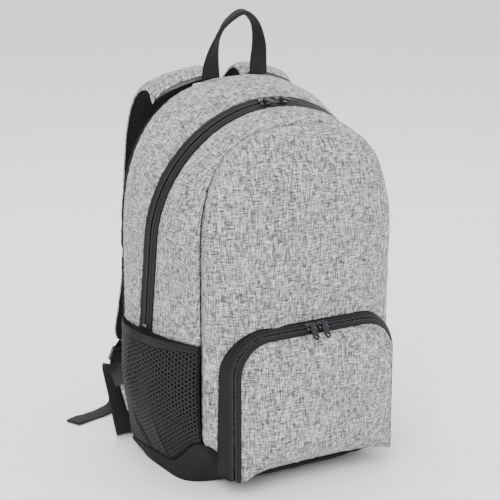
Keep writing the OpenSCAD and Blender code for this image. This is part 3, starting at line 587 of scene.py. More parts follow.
# lumps that fade out towards the seams, each layer as its height, size, seed and width of the fade
def softness(grid, off, layers):
    return sum(high * lumps(grid, size, seed) * smooth(off / fade) for high, size, seed, fade in layers)


# distance from the two long edges of a strip grid, whose columns run across it
def edgeRun(grid):
    near = runLength(grid, axis=1)
    return near, near[:, -1:] - near


# a seam's groove, the puffed cloth beside it and its puckers
def seamRelief(distance, along, groove, puff, pucker, seed, pitch=9.0):
    rng = np.random.RandomState(seed)
    wobble = sum(np.sin(along * 2 * math.pi / (pitch * k) + rng.uniform(0, 6.28)) for k in (1.0, 1.7, 0.63))
    return (-groove * np.exp(-(distance / 1.6) ** 2) + puff * np.exp(-((distance - 7) / 6) ** 2)
        + pucker * wobble / 1.7 * np.exp(-((distance - 4) / 7) ** 2))


def curvePoints(route, n):
    p = np.asarray(route, float)
    out = []
    for i in range(len(p) - 1):
        a, b, c, d = p[max(i - 1, 0)], p[i], p[i + 1], p[min(i + 2, len(p) - 1)]
        for t in (k / n for k in range(n)):
            bend = t * t * (2 * a - 5 * b + 4 * c - d) + t ** 3 * (3 * b - a - 3 * c + d)
            out.append(0.5 * (2 * b + t * (c - a) + bend))
    return np.array(out + [p[-1]])


def tangents(path):
    t = np.empty_like(path)
    t[1:-1] = path[2:] - path[:-2]
    t[0], t[-1] = path[1] - path[0], path[-1] - path[-2]
    return unit(t)


# a solid swept through rows of closed rings; uv runs round and along
def sweptSolid(name, rings, look, uvAcross, uvAlong):
    points = rings.reshape(-1, 3)
    flat = xyz(uvAcross, uvAlong[:, None]).reshape(-1, 2)
    return addMesh(name, points, tubeFaces(points, *rings.shape[:2]), flat, look)


# flat band profile with rounded edges, wide along x and thick along y
def bandProfile(wide, thick, edge=4):
    w, t = wide / 2, thick / 2
    r = min(t, w) * 0.98
    out = []
    for cx, cy, start in ((w - r, t - r, 0), (r - w, t - r, 90), (r - w, r - t, 180), (w - r, r - t, 270)):
        for k in range(edge):
            a = math.radians(start + 90 * k / (edge - 1))
            out.append((cx + r * math.cos(a), cy + r * math.sin(a)))
    return np.array(out)


# a strip of webbing along a path: side is its width direction at each point
def webbingStrip(name, path, side, wide, thick, look):
    way = tangents(path)
    side = squareTo(side, way)
    out = np.cross(way, side)
    wide, thick = np.broadcast_to(wide, len(path)), np.broadcast_to(thick, len(path))
    profiles = [bandProfile(w, t) for w, t in zip(wide, thick)]
    rings = [path[i] + p[:, :1] * side[i] + p[:, 1:] * out[i] for i, p in enumerate(profiles)]
    across = profiles[0][:, 0] + np.where(profiles[0][:, 1] < 0, 0.4, 0.0)
    return sweptSolid(name, np.array(rings), look, across, runLength(path))


# one small shape repeated at many frames (origin and three axes each)
def repeated(name, points, faces, origins, axes, look):
    spots = np.einsum("vk,fkc->fvc", points, axes) + origins[:, None, :]
    every = [tuple(v + k * len(points) for v in f) for k in range(len(origins)) for f in faces]
    return addMesh(name, spots.reshape(-1, 3), every, None, look)


# rounded peg along x, its rings given as (place, size) shares of length and radius
capsule = {"rows": [(-0.5, 0.35), (-0.36, 0.9), (0.0, 1.0), (0.36, 0.9), (0.5, 0.35)], "sides": 6}


def capsuleShape(length, radius):
    sides = capsule["sides"]
    turns = [2 * math.pi * j / sides for j in range(sides)]
    points = np.array([(x * length, radius * k * math.cos(a), radius * k * math.sin(a))
        for x, k in capsule["rows"] for a in turns])
    return points, tubeFaces(points, len(capsule["rows"]), sides)


# stitches along lines on a surface; normals say which way is out
def stitchRow(name, lines, look, body, slot, pitch=3.3, length=2.5, radius=0.32, sink=0.12):
    origins, axes = [], []
    for path, normals in lines:
        run = runLength(path)
        for at in np.arange(pitch / 2, run[-1], pitch):
            k = max(min(int(np.searchsorted(run, at)), len(path) - 1), 1)
            f = (at - run[k - 1]) / max(run[k] - run[k - 1], 1e-9)
            x = unit(path[k] - path[k - 1])
            out = unit(normals[k - 1] * (1 - f) + normals[k] * f)
            out = unit(out - np.dot(out, x) * x)
            origins.append(path[k - 1] * (1 - f) + path[k] * f + out * (radius - sink))
            axes.append((x, np.cross(out, x), out))
    piece = repeated(name, *capsuleShape(length, radius), np.array(origins), np.array(axes), look)
    settle(piece, body, slot)


# the bag's seams, as functions of a share s of the way over the crown
def corner(node, which):
    return [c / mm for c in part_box(node)[which]]


bag = {"beltZ": 265.0, "meshTop": 172.0, "backN": 2.5, "frontN": 2.8, "leg": 0.16, "sew": 0.3,
    "backHw": corner("back_cover", 1)[0], "backTop": corner("back_cover", 1)[2], "backY": 80.0,
    "frontHw": 127.0, "frontTop": 417.0, "frontY": -70.0, "frontBulge": 40.0,
    "zipR": 150.0, "zipZ": 287.0, "zipY": 2.2, "zipLean": math.radians(8.5), "zipSlope": math.radians(20),
    "zipW": 19.0, "lowHw": 140.0, "baseH": 16.0, "scoopH": 54.0, "sideBow": 2.0, "midY": 8.0,
    "footW": 272.0, "footD": 140.0}


def turnOf(s):
    return np.pi - np.pi * np.clip((s - bag["leg"]) / (1 - 2 * bag["leg"]), 0, 1)


def footOf(s):
    leg = bag["leg"]
    return np.where(s < leg, 1 - s / leg, np.where(s > 1 - leg, 1 - (1 - s) / leg, 0.0))


def archSeam(s, hw, top, n, y):
    a = turnOf(s)
    rise = bag["beltZ"] + (top - bag["beltZ"]) * spow(np.sin(a), 2 / n)
    return xyz(hw * spow(np.cos(a), 2 / n), y, rise - footOf(s) * (bag["beltZ"] - bag["meshTop"]))


def backSeam(s):
    return archSeam(s, bag["backHw"], bag["backTop"], bag["backN"], bag["backY"])


def frontSeam(s):
    return archSeam(s, bag["frontHw"], bag["frontTop"], bag["frontN"], bag["frontY"])


zipAxis = np.array([0, math.cos(bag["zipLean"]), math.sin(bag["zipLean"])])
zipUp = np.array([0, -math.sin(bag["zipLean"]), math.cos(bag["zipLean"])])
zipMid = np.array([0, bag["zipY"], bag["zipZ"]])
zipFoot = (bag["zipZ"] - bag["meshTop"]) / math.cos(bag["zipLean"])


# w runs across the band, n out from its face
def zipLine(s, w, n=0.0):
    a, foot = turnOf(s)[..., None], footOf(s)[..., None] * zipFoot
    rise, run = math.sin(bag["zipSlope"]), math.cos(bag["zipSlope"])
    r = np.asarray(bag["zipR"] + w * rise + n * run)[..., None]
    axial = np.asarray(w * run - n * rise)[..., None]
    return zipMid + axial * zipAxis + r * np.cos(a) * np.array([1.0, 0, 0]) + (r * np.sin(a) - foot) * zipUp


# from a seam to the zip or back, crowned between the two
def gussetAt(first, last, s, v, side, crown):
    a = turnOf(s)
    size = 4 * v * (1 - v) * mix(side, crown, np.sin(a) ** 2)
    return mix(first, last, v[..., None]) + size[..., None] * xyz(np.cos(a), 0.0, np.sin(a))


def rearAt(s, v):
    return gussetAt(backSeam(s), zipLine(s, bag["zipW"] / 2), s, v, 3, 12)


def frontAt(s, v):
    return gussetAt(zipLine(s, -bag["zipW"] / 2), frontSeam(s), s, v, 3, 5)


def frontFace(x, z):
    depth = bag["frontBulge"] * mix(0.68, 1, smooth((z - 10) / 230))
    h = np.maximum(0, (z - bag["beltZ"]) / (bag["frontTop"] - bag["beltZ"]))
    n = bag["frontN"]
    norm = ((np.abs(x) / bag["frontHw"]) ** n + h ** n) ** (1 / n)
    return bag["frontY"] - depth * (1 - np.minimum(norm, 1) ** 4) ** 0.42


def scoop(x):
    return mix(bag["baseH"], bag["scoopH"], smooth((np.abs(x) - 84) / (bag["frontHw"] - 84)))


# uv in millimetres along the spokes of a ring grid, out from its middle
def spokeUv(grid, middle, centreUv):
    whole = np.concatenate([np.broadcast_to(middle, (1,) + grid.shape[1:]), grid])
    flat = grid[..., [0, 2]] - np.array(centreUv)
    return np.array(centreUv) + unit(flat) * runLength(whole)[1:][..., None]


# flat size and area of a spoke pattern, in metres
def patternOf(uv):
    low, high = uv.reshape(-1, 2).min(0) * mm, uv.reshape(-1, 2).max(0) * mm
    area = float(abs(np.sum(np.cross(np.roll(uv[-1], -1, axis=0), uv[-1])))) / 2 * mm * mm
    return (float(high[0] - low[0]), float(high[1] - low[1])), area


# gussets: the two grey strips either side of the main zip
# each: its surface, how far in its edges are, which edge is at the zip,
# the other seam's groove, stitched column
gusset = {"rows": 300, "cols": 34, "thick": 1.3, "core": (0, 0, 200), "sink": 0.15,
    "lumps": ((0.55, 75, 3, 16), (0.22, 22, 8, 8)), "zipSeam": (0.6, 0.25, 0.22, 5),
    "seam": (0.45, 0.3, 6, 10), "rearGusset": (rearAt, 0.004, 1, 1.1, -3),
    "frontGusset": (frontAt, 0.0045, 0, 2.2, 2), "portHole": {"radius": 0.0094, "depth": 0.05, "in": 0.012,
    "vertices": 48}}


def cutPortHole(piece):
    hole, port = gusset["portHole"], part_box("usb_port_base")
    middle = (port[0] + port[1]) / 2
    bpy.ops.object.select_all(action="DESELECT")
    bpy.ops.mesh.primitive_cylinder_add(vertices=hole["vertices"], radius=hole["radius"], depth=hole["depth"],
        location=(port[0].x + hole["in"], middle.y, middle.z), rotation=(0, math.pi / 2, 0))
    cutter = bpy.context.object
    applyModifier(piece, "BOOLEAN", operation="DIFFERENCE", object=cutter, solver="EXACT")
    bpy.data.objects.remove(cutter)


def makeGusset(name, node, tape):
    at, inset, zipEdge, groove, column = gusset[name]
    s, v = np.meshgrid(np.linspace(0, 1, gusset["rows"]), np.linspace(inset, 1 - inset, gusset["cols"]),
        indexing="ij")
    grid = at(s, v)
    normal = gridNormals(grid, gusset["core"])
    edges = edgeRun(grid)
    off, along = np.minimum(*edges), runLength(grid[:, gusset["cols"] // 2])[:, None]
    lift = softness(grid, off, gusset["lumps"]) + (seamRelief(edges[zipEdge], along, *gusset["zipSeam"])
        + seamRelief(edges[1 - zipEdge], along, groove, *gusset["seam"]))
    grid = grid + normal * (lift - gusset["sink"])[..., None]
    uv = xyz(runLength(grid, axis=1), runLength(grid[:, gusset["cols"] // 2])[:, None])
    piece = clothSheet(name, grid, uv, "heather", gusset["thick"], core=gusset["core"])
    if name == "rearGusset":
        cutPortHole(piece)
    flat = (float(edges[0][:, -1].mean()) * mm, float(along[-1, 0]) * mm)
    settleSheet(piece, "heather", [node], flat, [tape])
    stitchRow(name + "Stitches", [(grid[:, column], normal[:, column])], "greyThread", "root", "heather")


makeGusset("rearGusset", "rear_gusset", "zipTapeRear")
makeGusset("frontGusset", "front_gusset", "zipTapeFront")
print("gussets made")

# front panel: one domed sheet of grey cloth
front = {"around": 190, "foot": 90, "thick": 1.3, "core": (0, 40, 250), "edge": (0.9875, 0.9965),
    "lumps": ((1.1, 95, 11, 40), (0.3, 30, 12, 14)), "seam": (1.7, 0.5, 0.35, 13, 12), "crownFade": 0.55,
    "rim": [0.925, 0.945, 0.962, 0.974, 0.983, 0.989, 0.9935, 0.997, 0.999, 1.0], "turnIn": 2.2,
    "footGap": 0.6, "crease": 1.1, "creaseZ": 212}


def makeFrontPanel():
    seam = frontSeam(np.linspace(0, 1, front["around"]))
    # the seam line opens a little down the straight sides and closes over the crown
    edge = mix(*front["edge"], smooth((seam[:, 2] - 330) / 75))
    top = xyz(seam[:, 0] * edge, (seam[:, 2] - bag["beltZ"]) * edge + bag["beltZ"])
    x = np.linspace(bag["frontHw"] * edge[0], -bag["frontHw"] * edge[0], front["foot"])
    side = xyz(x[0], np.linspace(top[-1, 1], bag["scoopH"] + front["footGap"], 30)[1:-1])
    loop = np.concatenate([top, side, xyz(x, scoop(x) + front["footGap"]), side[::-1] * np.array([-1, 1])])
    share = np.concatenate([np.linspace(0.03, 0.9, 38), front["rim"]])[:, None]
    gx, gz = loop[:, 0] * share, bag["beltZ"] + (loop[:, 1] - bag["beltZ"]) * share
    gy = frontFace(gx, gz)
    # the last ring turns in to the seam itself
    gy[-1] = np.where(loop[:, 1] > bag["scoopH"] + 1, bag["frontY"] + front["turnIn"], gy[-1])
    grid = xyz(gx, gy, gz)
    middle = np.array([0, float(frontFace(np.array(0.0), np.array(bag["beltZ"]))), bag["beltZ"]])
    uv = spokeUv(grid, middle, (0, bag["beltZ"]))
    normal, off, along = domeOf(grid, front["core"])
    lift = softness(grid, off, front["lumps"])
    # the seam fades out over the crown
    crown = smooth((grid[-1][:, 2] - 330) / 80)[None, :]
    lift += seamRelief(off, along, *front["seam"]) * (1 - front["crownFade"] * crown)
    # a soft crease above the pocket, where the full bag sags onto it
    sag = np.exp(-((gz - front["creaseZ"] - 0.0008 * gx ** 2) / 9) ** 2)
    lift -= front["crease"] * sag * smooth((118 - np.abs(gx)) / 40)
    piece = clothSheet("frontPanel", grid + normal * lift[..., None], uv, "heather", front["thick"],
        wrap=True, centre=(middle + np.array([0, -0.2, 0]), (0, bag["beltZ"])), core=front["core"])
    flat, area = patternOf(uv)
    settleSheet(piece, "heather", ["front_panel"], flat, ["frontGusset", "baseSkirt"], area=area)
    print("front panel made")


makeFrontPanel()

# black lower sides and the base
lower = {"cols": 44, "rows": 26, "core": (0, 10, 110), "sideFlat": (0.152, 0.153), "sideArea": 0.0205,
    "thick": 1.2, "lumps": ((0.5, 48, 21, 12),)}


def sideEdge(v):
    return xyz(bag["frontHw"] + (bag["lowHw"] - bag["frontHw"]) * np.sin(np.pi / 2 * v) ** 0.8,
        mix(bag["frontY"], bag["backY"], v), mix(bag["scoopH"], bag["baseH"], smooth(v / 0.4)))


def sideTop(cols):
    ahead, behind = np.linspace(1, 0, cols // 3), np.linspace(1, 0, cols // 2)
    band = np.linspace(-9.0, 9.0, 7)
    line = np.concatenate([frontAt(0 * ahead, ahead), zipLine(0 * band, band), rearAt(0 * behind, behind)])
    line = xyz(-line[:, 0], np.clip(line[:, 1], bag["frontY"], bag["backY"]), line[:, 2] - bag["sew"])
    return line[np.concatenate([[True], np.diff(line[:, 1]) > 0.05])]


def sideAt(v, cols):
    line = sideTop(cols)
    low = sideEdge((line[:, 1] - bag["frontY"]) / (bag["backY"] - bag["frontY"])) + np.array([0, 0, 1.2])
    v = np.asarray(v)[:, None, None]
    grid = mix(line[None], low[None], v)
    grid[..., 0] += bag["sideBow"] * np.sin(np.pi * v[..., 0])
    return grid


def makeSides():
    for tag, flip in hands:
        grid = sideAt(np.linspace(0.0, 1, lower["rows"]), lower["cols"])
        off = np.minimum(*edgeRun(grid))
        lift = softness(grid, off, lower["lumps"]) - 0.6 * np.exp(-(off / 2) ** 2) - 0.15
        grid = (grid + gridNormals(grid, lower["core"]) * lift[..., None]) * flip
        piece = clothSheet("lowerSide" + tag, grid, grid[..., 1:], "black", lower["thick"],
            core=lower["core"])
        settleSheet(piece, "black_cloth", ["side_panel_" + tag.lower()], lower["sideFlat"], ["baseSkirt"],
            area=lower["sideArea"])


def footAt(points, out, z):
    a = np.arctan2(points[:, 1] - bag["midY"], points[:, 0])
    w, d = bag["footW"] / 2 + out, bag["footD"] / 2 + out
    r = ((np.abs(np.cos(a)) / w) ** 5 + (np.abs(np.sin(a)) / d) ** 5) ** (-1 / 5)
    return xyz(r * np.cos(a), bag["midY"] + r * np.sin(a), z)


skirt = {"rows": 22, "rise": 0.62, "thick": 1.6, "high": 0.062, "core": (0, 8, 60), "from": (2.6, 0.6),
    "lumps": ((0.55, 40, 31, 10),), "seam": (0.9, 0.5, 0.3, 32)}


def makeSkirt():
    ahead = np.linspace(-bag["frontHw"], bag["frontHw"], 64)
    behind = np.linspace(bag["lowHw"] - 4, 4 - bag["lowHw"], 40)
    v = np.linspace(0.05, 1, 34)
    top = np.concatenate([xyz(ahead, frontFace(ahead, scoop(ahead)), scoop(ahead)), sideEdge(v),
        xyz(behind, bag["backY"], bag["baseH"]), sideEdge(np.linspace(1, 0.05, 34)) * np.array([-1, 1, 1])])
    v = np.linspace(0, 1, skirt["rows"])[:, None, None]
    foot = footAt(top, *skirt["from"])[None]
    bend = np.sin(np.pi / 2 * v) ** skirt["rise"]
    grid = mix(foot, top[None], np.concatenate([bend, bend, v], axis=-1))
    normal, off, _ = domeOf(grid, skirt["core"])
    low, along = runLength(grid), loopRun(grid[0])
    lift = (softness(grid, off, skirt["lumps"]) * smooth(low / 8)
        + seamRelief(off, along, *skirt["seam"]) - 0.3)
    grid = grid + normal * (lift * smooth(low / 5))[..., None]
    piece = clothSheet("baseSkirt", grid, xyz(along, low), "black", skirt["thick"], wrap=True,
        core=skirt["core"])
    girth = float(along.max())
    settleSheet(piece, "black_cloth", ["base_skirt"], (girth * mm, skirt["high"]), ["floor"],
        area=float(np.mean(low[-1])) * girth * mm * mm)
    stitchRow("baseStitches", [(grid[-4], normal[-4])], "blackThread", "root", "black_cloth")


# underside: a stiff panel with a turned edge and a bound seam, as rows out from the rim and up
base = {"rows": [(-44.9, 0.35), (-20, 0.15), (-8, 0.05), (-3, 0.0), (-1.2, 0.15), (-0.2, 0.8), (0, 1.6),
    (-0.4, 2.5), (-1.4, 2.9)], "around": 200, "thick": 0.9, "flat": (0.272, 0.14), "area": 0.0375,
    "bottom": 0.35}


def makeBase():
    turn = np.linspace(0, 2 * math.pi, base["around"], endpoint=False)
    ring = xyz(np.cos(turn), bag["midY"] + np.sin(turn), 0.0)
    rows = [footAt(ring, out, z) for out, z in base["rows"]]
    inner = [rows[0] * np.array([k, k, 1]) + np.array([0, bag["midY"] * (1 - k), 0])
        for k in (0.25, 0.5, 0.75)]
    grid = np.array(inner + rows)
    centre = (np.array([0, bag["midY"], base["bottom"]]), (0, bag["midY"]))
    piece = clothSheet("basePanel", grid, grid[..., :2], "black", 0.0, wrap=True, centre=centre,
        core=(0, 8, 30))
    thicken(piece, base["thick"])
    settleSheet(piece, "black_cloth", ["base_plate"], base["flat"], ["floor"], "laid", area=base["area"])
    print("sides and base made")


makeSides()
makeSkirt()
makeBase()

# back: a quilted, padded panel with its foam and lining
back = {"bulge": 24.0, "coverT": 1.5, "quilts": (252.0, 106.0), "quiltDeep": 4.2, "foamDeep": 8.0,
    "core": (0, 0, 230), "gap": bag["backY"] + bag["sew"], "rim": [0.92, 0.94, 0.955, 0.968, 0.979, 0.988,
    0.995, 1.0], "foamRim": 0.94, "coverFlat": (0.31, 0.45), "coverArea": 0.128, "liningFlat": (0.29, 0.43),
    "liningArea": 0.117, "sink": 0.6, "lumps": ((0.5, 60, 41, 25),), "seam": (1.2, 0.8, 0.4, 42, 10)}
back["shares"] = np.concatenate([np.linspace(0.02, 0.9, 60), back["rim"]])
back["inner"] = back["shares"][back["shares"] <= back["foamRim"]]


def lowSeam(z):
    v = np.clip((bag["meshTop"] - z) / (bag["meshTop"] - bag["baseH"]), 0, 1)
    return mix(bag["backHw"], bag["lowHw"], v) + bag["sideBow"] * np.sin(np.pi * v)


def backLoop():
    seam = backSeam(np.linspace(0, 1, 150))[:, [0, 2]]
    z = np.linspace(168, 26, 24)
    right = xyz(lowSeam(z), z)
    a = np.radians(np.linspace(0, 90, 7)[1:-1])
    bend = xyz(137 + 3 * np.cos(a), 20.5 - 4 * np.sin(a))
    mirror = np.array([-1, 1])
    foot = xyz(np.linspace(134, -134, 60), 16.5)
    return np.concatenate([seam, right, bend, foot, bend[::-1] * mirror, right[::-1] * mirror])


def backRise(r):
    return back["bulge"] * np.sqrt(1 - np.minimum(r, 1) ** 4)


def backGrid(shares, y):
    loop, r = backLoop(), np.asarray(shares)[:, None]
    return xyz(loop[:, 0] * r, y[:, None], bag["beltZ"] + (loop[:, 1] - bag["beltZ"]) * r)


def backMiddle(y):
    return np.array([0, y, bag["beltZ"]])


def makeBackCover():
    grid = backGrid(back["shares"], back["gap"] + back["coverT"] + backRise(back["shares"]))
    normal, off, along = domeOf(grid, back["core"])
    lift = softness(grid, off, back["lumps"]) + seamRelief(off, along, *back["seam"])
    wave = 1.2 * np.sin(grid[..., 0] / 55)
    for z in back["quilts"]:
        far = np.abs(grid[..., 2] - z - wave)
        pull = 0.35 * np.sin(grid[..., 0] / 2.1) * np.exp(-((far - 5) / 5) ** 2)
        channel = back["quiltDeep"] * np.exp(-(far / 4.2) ** 1.3) - 1.3 * np.exp(-((far - 17) / 11) ** 2)
        lift -= (channel - pull) * smooth(off / 10)
    grid = grid + normal * (lift - back["sink"])[..., None]
    top = back["gap"] + back["coverT"] + back["bulge"]
    uv = spokeUv(grid, backMiddle(top), (0, bag["beltZ"]))
    piece = clothSheet("backCover", grid, uv, "spacer", wrap=True,
        centre=(backMiddle(top - back["sink"]), (0, bag["beltZ"])), core=back["core"])
    settleSheet(piece, "spacer_mesh", ["back_cover"], back["coverFlat"], ["backFoam"], area=back["coverArea"])


# foam behind it, a crowned pad that follows the cover
def makeBackFoam():
    inner, seat = back["inner"], back["gap"] - bag["sew"] + backRise(back["inner"])
    outer = backGrid(inner, seat - 1.3 - 1.6 * smooth((inner - 0.8) / 0.14))
    under = backGrid(inner, seat - back["foamDeep"] - 0.4)
    outer[..., 1] -= sum(back["quiltDeep"] * 1.1 * np.exp(-((outer[..., 2] - z) / 9) ** 2)
        for z in back["quilts"])
    rows, cols = outer.shape[:2]
    crown = back["gap"] + back["bulge"]
    points = np.concatenate([outer.reshape(-1, 3), under.reshape(-1, 3),
        [backMiddle(crown - 0.8), backMiddle(crown - back["foamDeep"])]])
    k, edge = rows * cols, (rows - 1) * cols
    faces = gridFaces(rows, cols, True) + [f[::-1] for f in gridFaces(rows, cols, True, start=k)]
    ring = [(j, (j + 1) % cols) for j in range(cols)]
    faces += [(b, a, 2 * k) for a, b in ring] + [(k + a, k + b, 2 * k + 1) for a, b in ring]
    faces += [(edge + a, edge + b, k + edge + b, k + edge + a) for a, b in ring]
    pad = addMesh("backFoam", points, facingOut(points, faces), None, "foam")
    settle(pad, "root", "foam", "back_foam")


def makeBackLining():
    shares = np.concatenate([back["inner"], [0.95, 0.962, 0.975]])
    y = back["gap"] + 0.5 + np.maximum(0, backRise(shares) - back["foamDeep"] - 1.6)
    grid = backGrid(shares, y)
    grid[..., 1] += 0.25 * lumps(grid, 40, 47)
    piece = clothSheet("backLining", grid, grid[..., [0, 2]], "lining", 0.5, wrap=True,
        centre=(backMiddle(y[0]), (0, bag["beltZ"])), core=back["core"])
    settleSheet(piece, "lining", ["back_lining"], back["liningFlat"], ["backFoam"], area=back["liningArea"])


def makeQuilting():
    lines, x = [], np.linspace(-134, 134, 160)
    for quilt in back["quilts"]:
        z = quilt + 1.2 * np.sin(x / 55)
        half = np.where(z > bag["beltZ"], bag["backHw"], lowSeam(z))
        share = np.maximum(np.abs(x) / half, np.abs(z - bag["beltZ"]) / 250)
        deep = back["sink"] + back["quiltDeep"] * smooth((1 - share) * 14)
        y = back["gap"] + back["coverT"] + backRise(share) - deep
        lines.append((xyz(x, y, z), np.tile([0.0, 1, 0], (len(x), 1))))
    stitchRow("quiltStitches", lines, "blackThread", "root", "spacer_mesh", pitch=4.2, length=3.2, radius=0.4)
    print("back made")


makeBackCover()
makeBackFoam()
makeBackLining()
makeQuilting()

zips = {"toothPitch": 1.55, "tapeRows": 420, "inner": 1.9, "tapeFlat": 0.0101, "toothSides": 8,
    "tape": np.array([(0.0, 0.45), (0.6, 0.62), (1.2, 0.45), (2.6, 0.4), (3.4, 0.62), (4.2, 0.4), (5.0, 0.42),
        (5.0, -0.35), (3.4, -0.3), (1.2, -0.35), (0.0, -0.3)]),
    "tooth": ((0.85, 0.72), (1.25, 1.0), (2.4, 1.0), (3.15, 0.8))}


# place gives points along a zip from stations, a place over the band's width and a height off its face
def tapeRings(place, side, wide, stations):
    section = zips["tape"]
    w = side * (zips["inner"] + section[:, 0] / 5.0 * (wide / 2 - 0.1 - zips["inner"]))
    rings = [place(stations, np.full_like(stations, x), np.full_like(stations, n))
        for x, n in zip(w, section[:, 1])]
    return np.stack(rings, axis=1), np.abs(w)


def toothShape():
    sides = zips["toothSides"]
    turns = [2 * math.pi * (j + 0.5) / sides for j in range(sides)]
    points = np.array([(w, 0.56 * k * math.cos(a), 1.0 * k * math.sin(a))
        for w, k in zips["tooth"] for a in turns])
    return points, tubeFaces(points, len(zips["tooth"]), sides)


def makeCoil(name, place, side, stations, shift, node):
    run = runLength(place(stations, 0 * stations, 0 * stations))
    at = np.interp(np.arange(1.0 + shift, run[-1] - 1.0, zips["toothPitch"]), run, stations)
    zero = np.zeros_like(at)
    origin = place(at, zero, zero)
    across = unit(place(at, zero + 1, zero) - origin) * side
    out = unit(place(at, zero, zero + 1) - origin)
    axes = np.stack([across, np.cross(out, across), out], axis=1)
    settle(repeated(name, *toothShape(), origin, axes, "coil"), "root", "coil", node)


def makeZip(label, place, wide, stations, rearSide, nodes, under):
    for index, tag in enumerate(("Rear", "Front")):
        side = rearSide * (1 - 2 * index)
        rings, across = tapeRings(place, side, wide, stations)
        run = runLength(rings[:, 0])
        tape = sweptSolid(label + "Tape" + tag, rings, "tape", across, run)
        long = float(run[-1])
        settleSheet(tape, "tape", [nodes + "_tape_" + tag.lower()], (zips["tapeFlat"], long * mm),
            [under[index]], area=float(np.ptp(across)) * long * mm * mm)
        makeCoil(label + "Coil" + tag, place, side, stations, 0.5 * index * zips["toothPitch"],
            nodes + "_coil_" + tag.lower())


makeZip("zip", zipLine, bag["zipW"], np.linspace(0.001, 0.999, zips["tapeRows"]), 1, "zip",
    ("rearGusset", "frontGusset"))
print("main zip made")

# front pocket
pocket = {"hw": 109.0, "top": 188.0, "r": 44.0, "y": -117.0, "w": 17.0, "front": -143.0,
    "slope": math.radians(33), "foot": 20.0, "mid": 98.0, "hem": 0.6, "tapeRows": 330, "core": (0, -60, 90),
    "faceRows": 170, "lumps": ((0.9, 60, 51, 30), (0.3, 24, 52, 12)), "seam": (0.9, 0.7, 0.55, 53, 11)}
pocket["straight"] = pocket["hw"] - pocket["r"]
pocket["upright"] = pocket["top"] - pocket["r"] - pocket["foot"]
pocket["run"] = 2 * pocket["upright"] + math.pi * pocket["r"] + 2 * pocket["straight"]
pocket["bandOut"] = pocket["w"] / 2 * math.sin(pocket["slope"])
pocket["bandDeep"] = pocket["w"] / 2 * math.cos(pocket["slope"])


# the pocket zip's centre line moved outwards by out, at a length along it from the left foot
def pocketCentre(length, out=0.0):
    r, straight = pocket["r"], pocket["straight"]
    marks = np.cumsum([pocket["upright"], math.pi / 2 * r, 2 * straight, math.pi / 2 * r])
    k = np.digitize(length, marks)
    a = np.select([k == 0, k == 1, k == 2, k == 3],
        [math.pi, math.pi - (length - marks[0]) / r, math.pi / 2, math.pi / 2 - (length - marks[2]) / r], 0.0)
    x = np.select([k <= 1, k == 2], [-straight, length - marks[1] - straight], straight)
    z = np.select([k == 0, k == 4], [length, pocket["run"] - length], pocket["upright"]) + pocket["foot"]
    return x + (r + out) * np.cos(a), z + (r + out) * np.sin(a)


def pocketLine(s, w, n=0.0):
    c, t = math.cos(pocket["slope"]), math.sin(pocket["slope"])
    x, z = pocketCentre(np.asarray(s, float), n * c - w * t)
    return xyz(x, pocket["y"] - (n * t + w * c), z)


# black strip that joins the zip to the front panel
def makePocketStrip():
    p, length = pocket, np.linspace(0, pocket["run"], 300)
    near, far = (xyz(*pocketCentre(length, p["bandOut"] + wide)) for wide in (0, 1.5))
    v = np.linspace(0, 1, 9)
    flat = mix(near[:, None], far[:, None], v[None, :, None])
    y = mix(p["y"] + p["bandDeep"] + 0.3, (frontFace(far[:, 0], far[:, 1]) - 0.9)[:, None], v[None])
    grid = xyz(flat[..., 0], y, flat[..., 1])
    across = runLength(grid, axis=1)
    strip = clothSheet("pocketGusset", grid, xyz(across, length[:, None]), "black", 1.0, core=(0, -100, 90))
    settleSheet(strip, "black_cloth", ["pocket_gusset"], (float(across[:, -1].mean()) * mm, p["run"] * mm),
        ["frontPanel"])


# a turned-in flap closes each foot of the strip, under the end of the zip
flap = {"in": 46, "out": 1.2, "rows": 26, "cols": 10, "thick": 0.8, "flat": (0.054, 0.03), "area": 0.0008}


def makePocketFlaps():
    p, inner = pocket, pocket["hw"] - pocket["bandOut"]
    for tag, flip in hands:
        x = np.linspace(p["hw"] + p["bandOut"] + flap["out"], p["hw"] - flap["in"], flap["rows"])
        dip = 1 - np.minimum(np.abs(x) / inner, 1) ** 4
        rear = frontFace(x, p["foot"]) - 0.4
        ahead = mix(p["y"] - p["bandDeep"] + 0.6, rear - p["hem"], dip)
        slant = np.clip((x - inner) / (2 * p["bandOut"]), 0, 1)
        ahead = np.where(x > inner, mix(p["y"] - p["bandDeep"], p["y"] + p["bandDeep"], slant), ahead)
        v = np.linspace(0, 1, flap["cols"])[None, :]
        grid = xyz(x[:, None] * flip[0], mix(ahead[:, None], rear[:, None], v),
            (p["foot"] + 0.9 - 1.3 * dip)[:, None])
        hem = clothSheet("pocketFlap" + tag, grid, grid[..., :2], "black", flap["thick"], core=(0, -90, 60))
        settleSheet(hem, "black_cloth", [], flap["flat"], ["pocketGusset"], "folded", area=flap["area"])


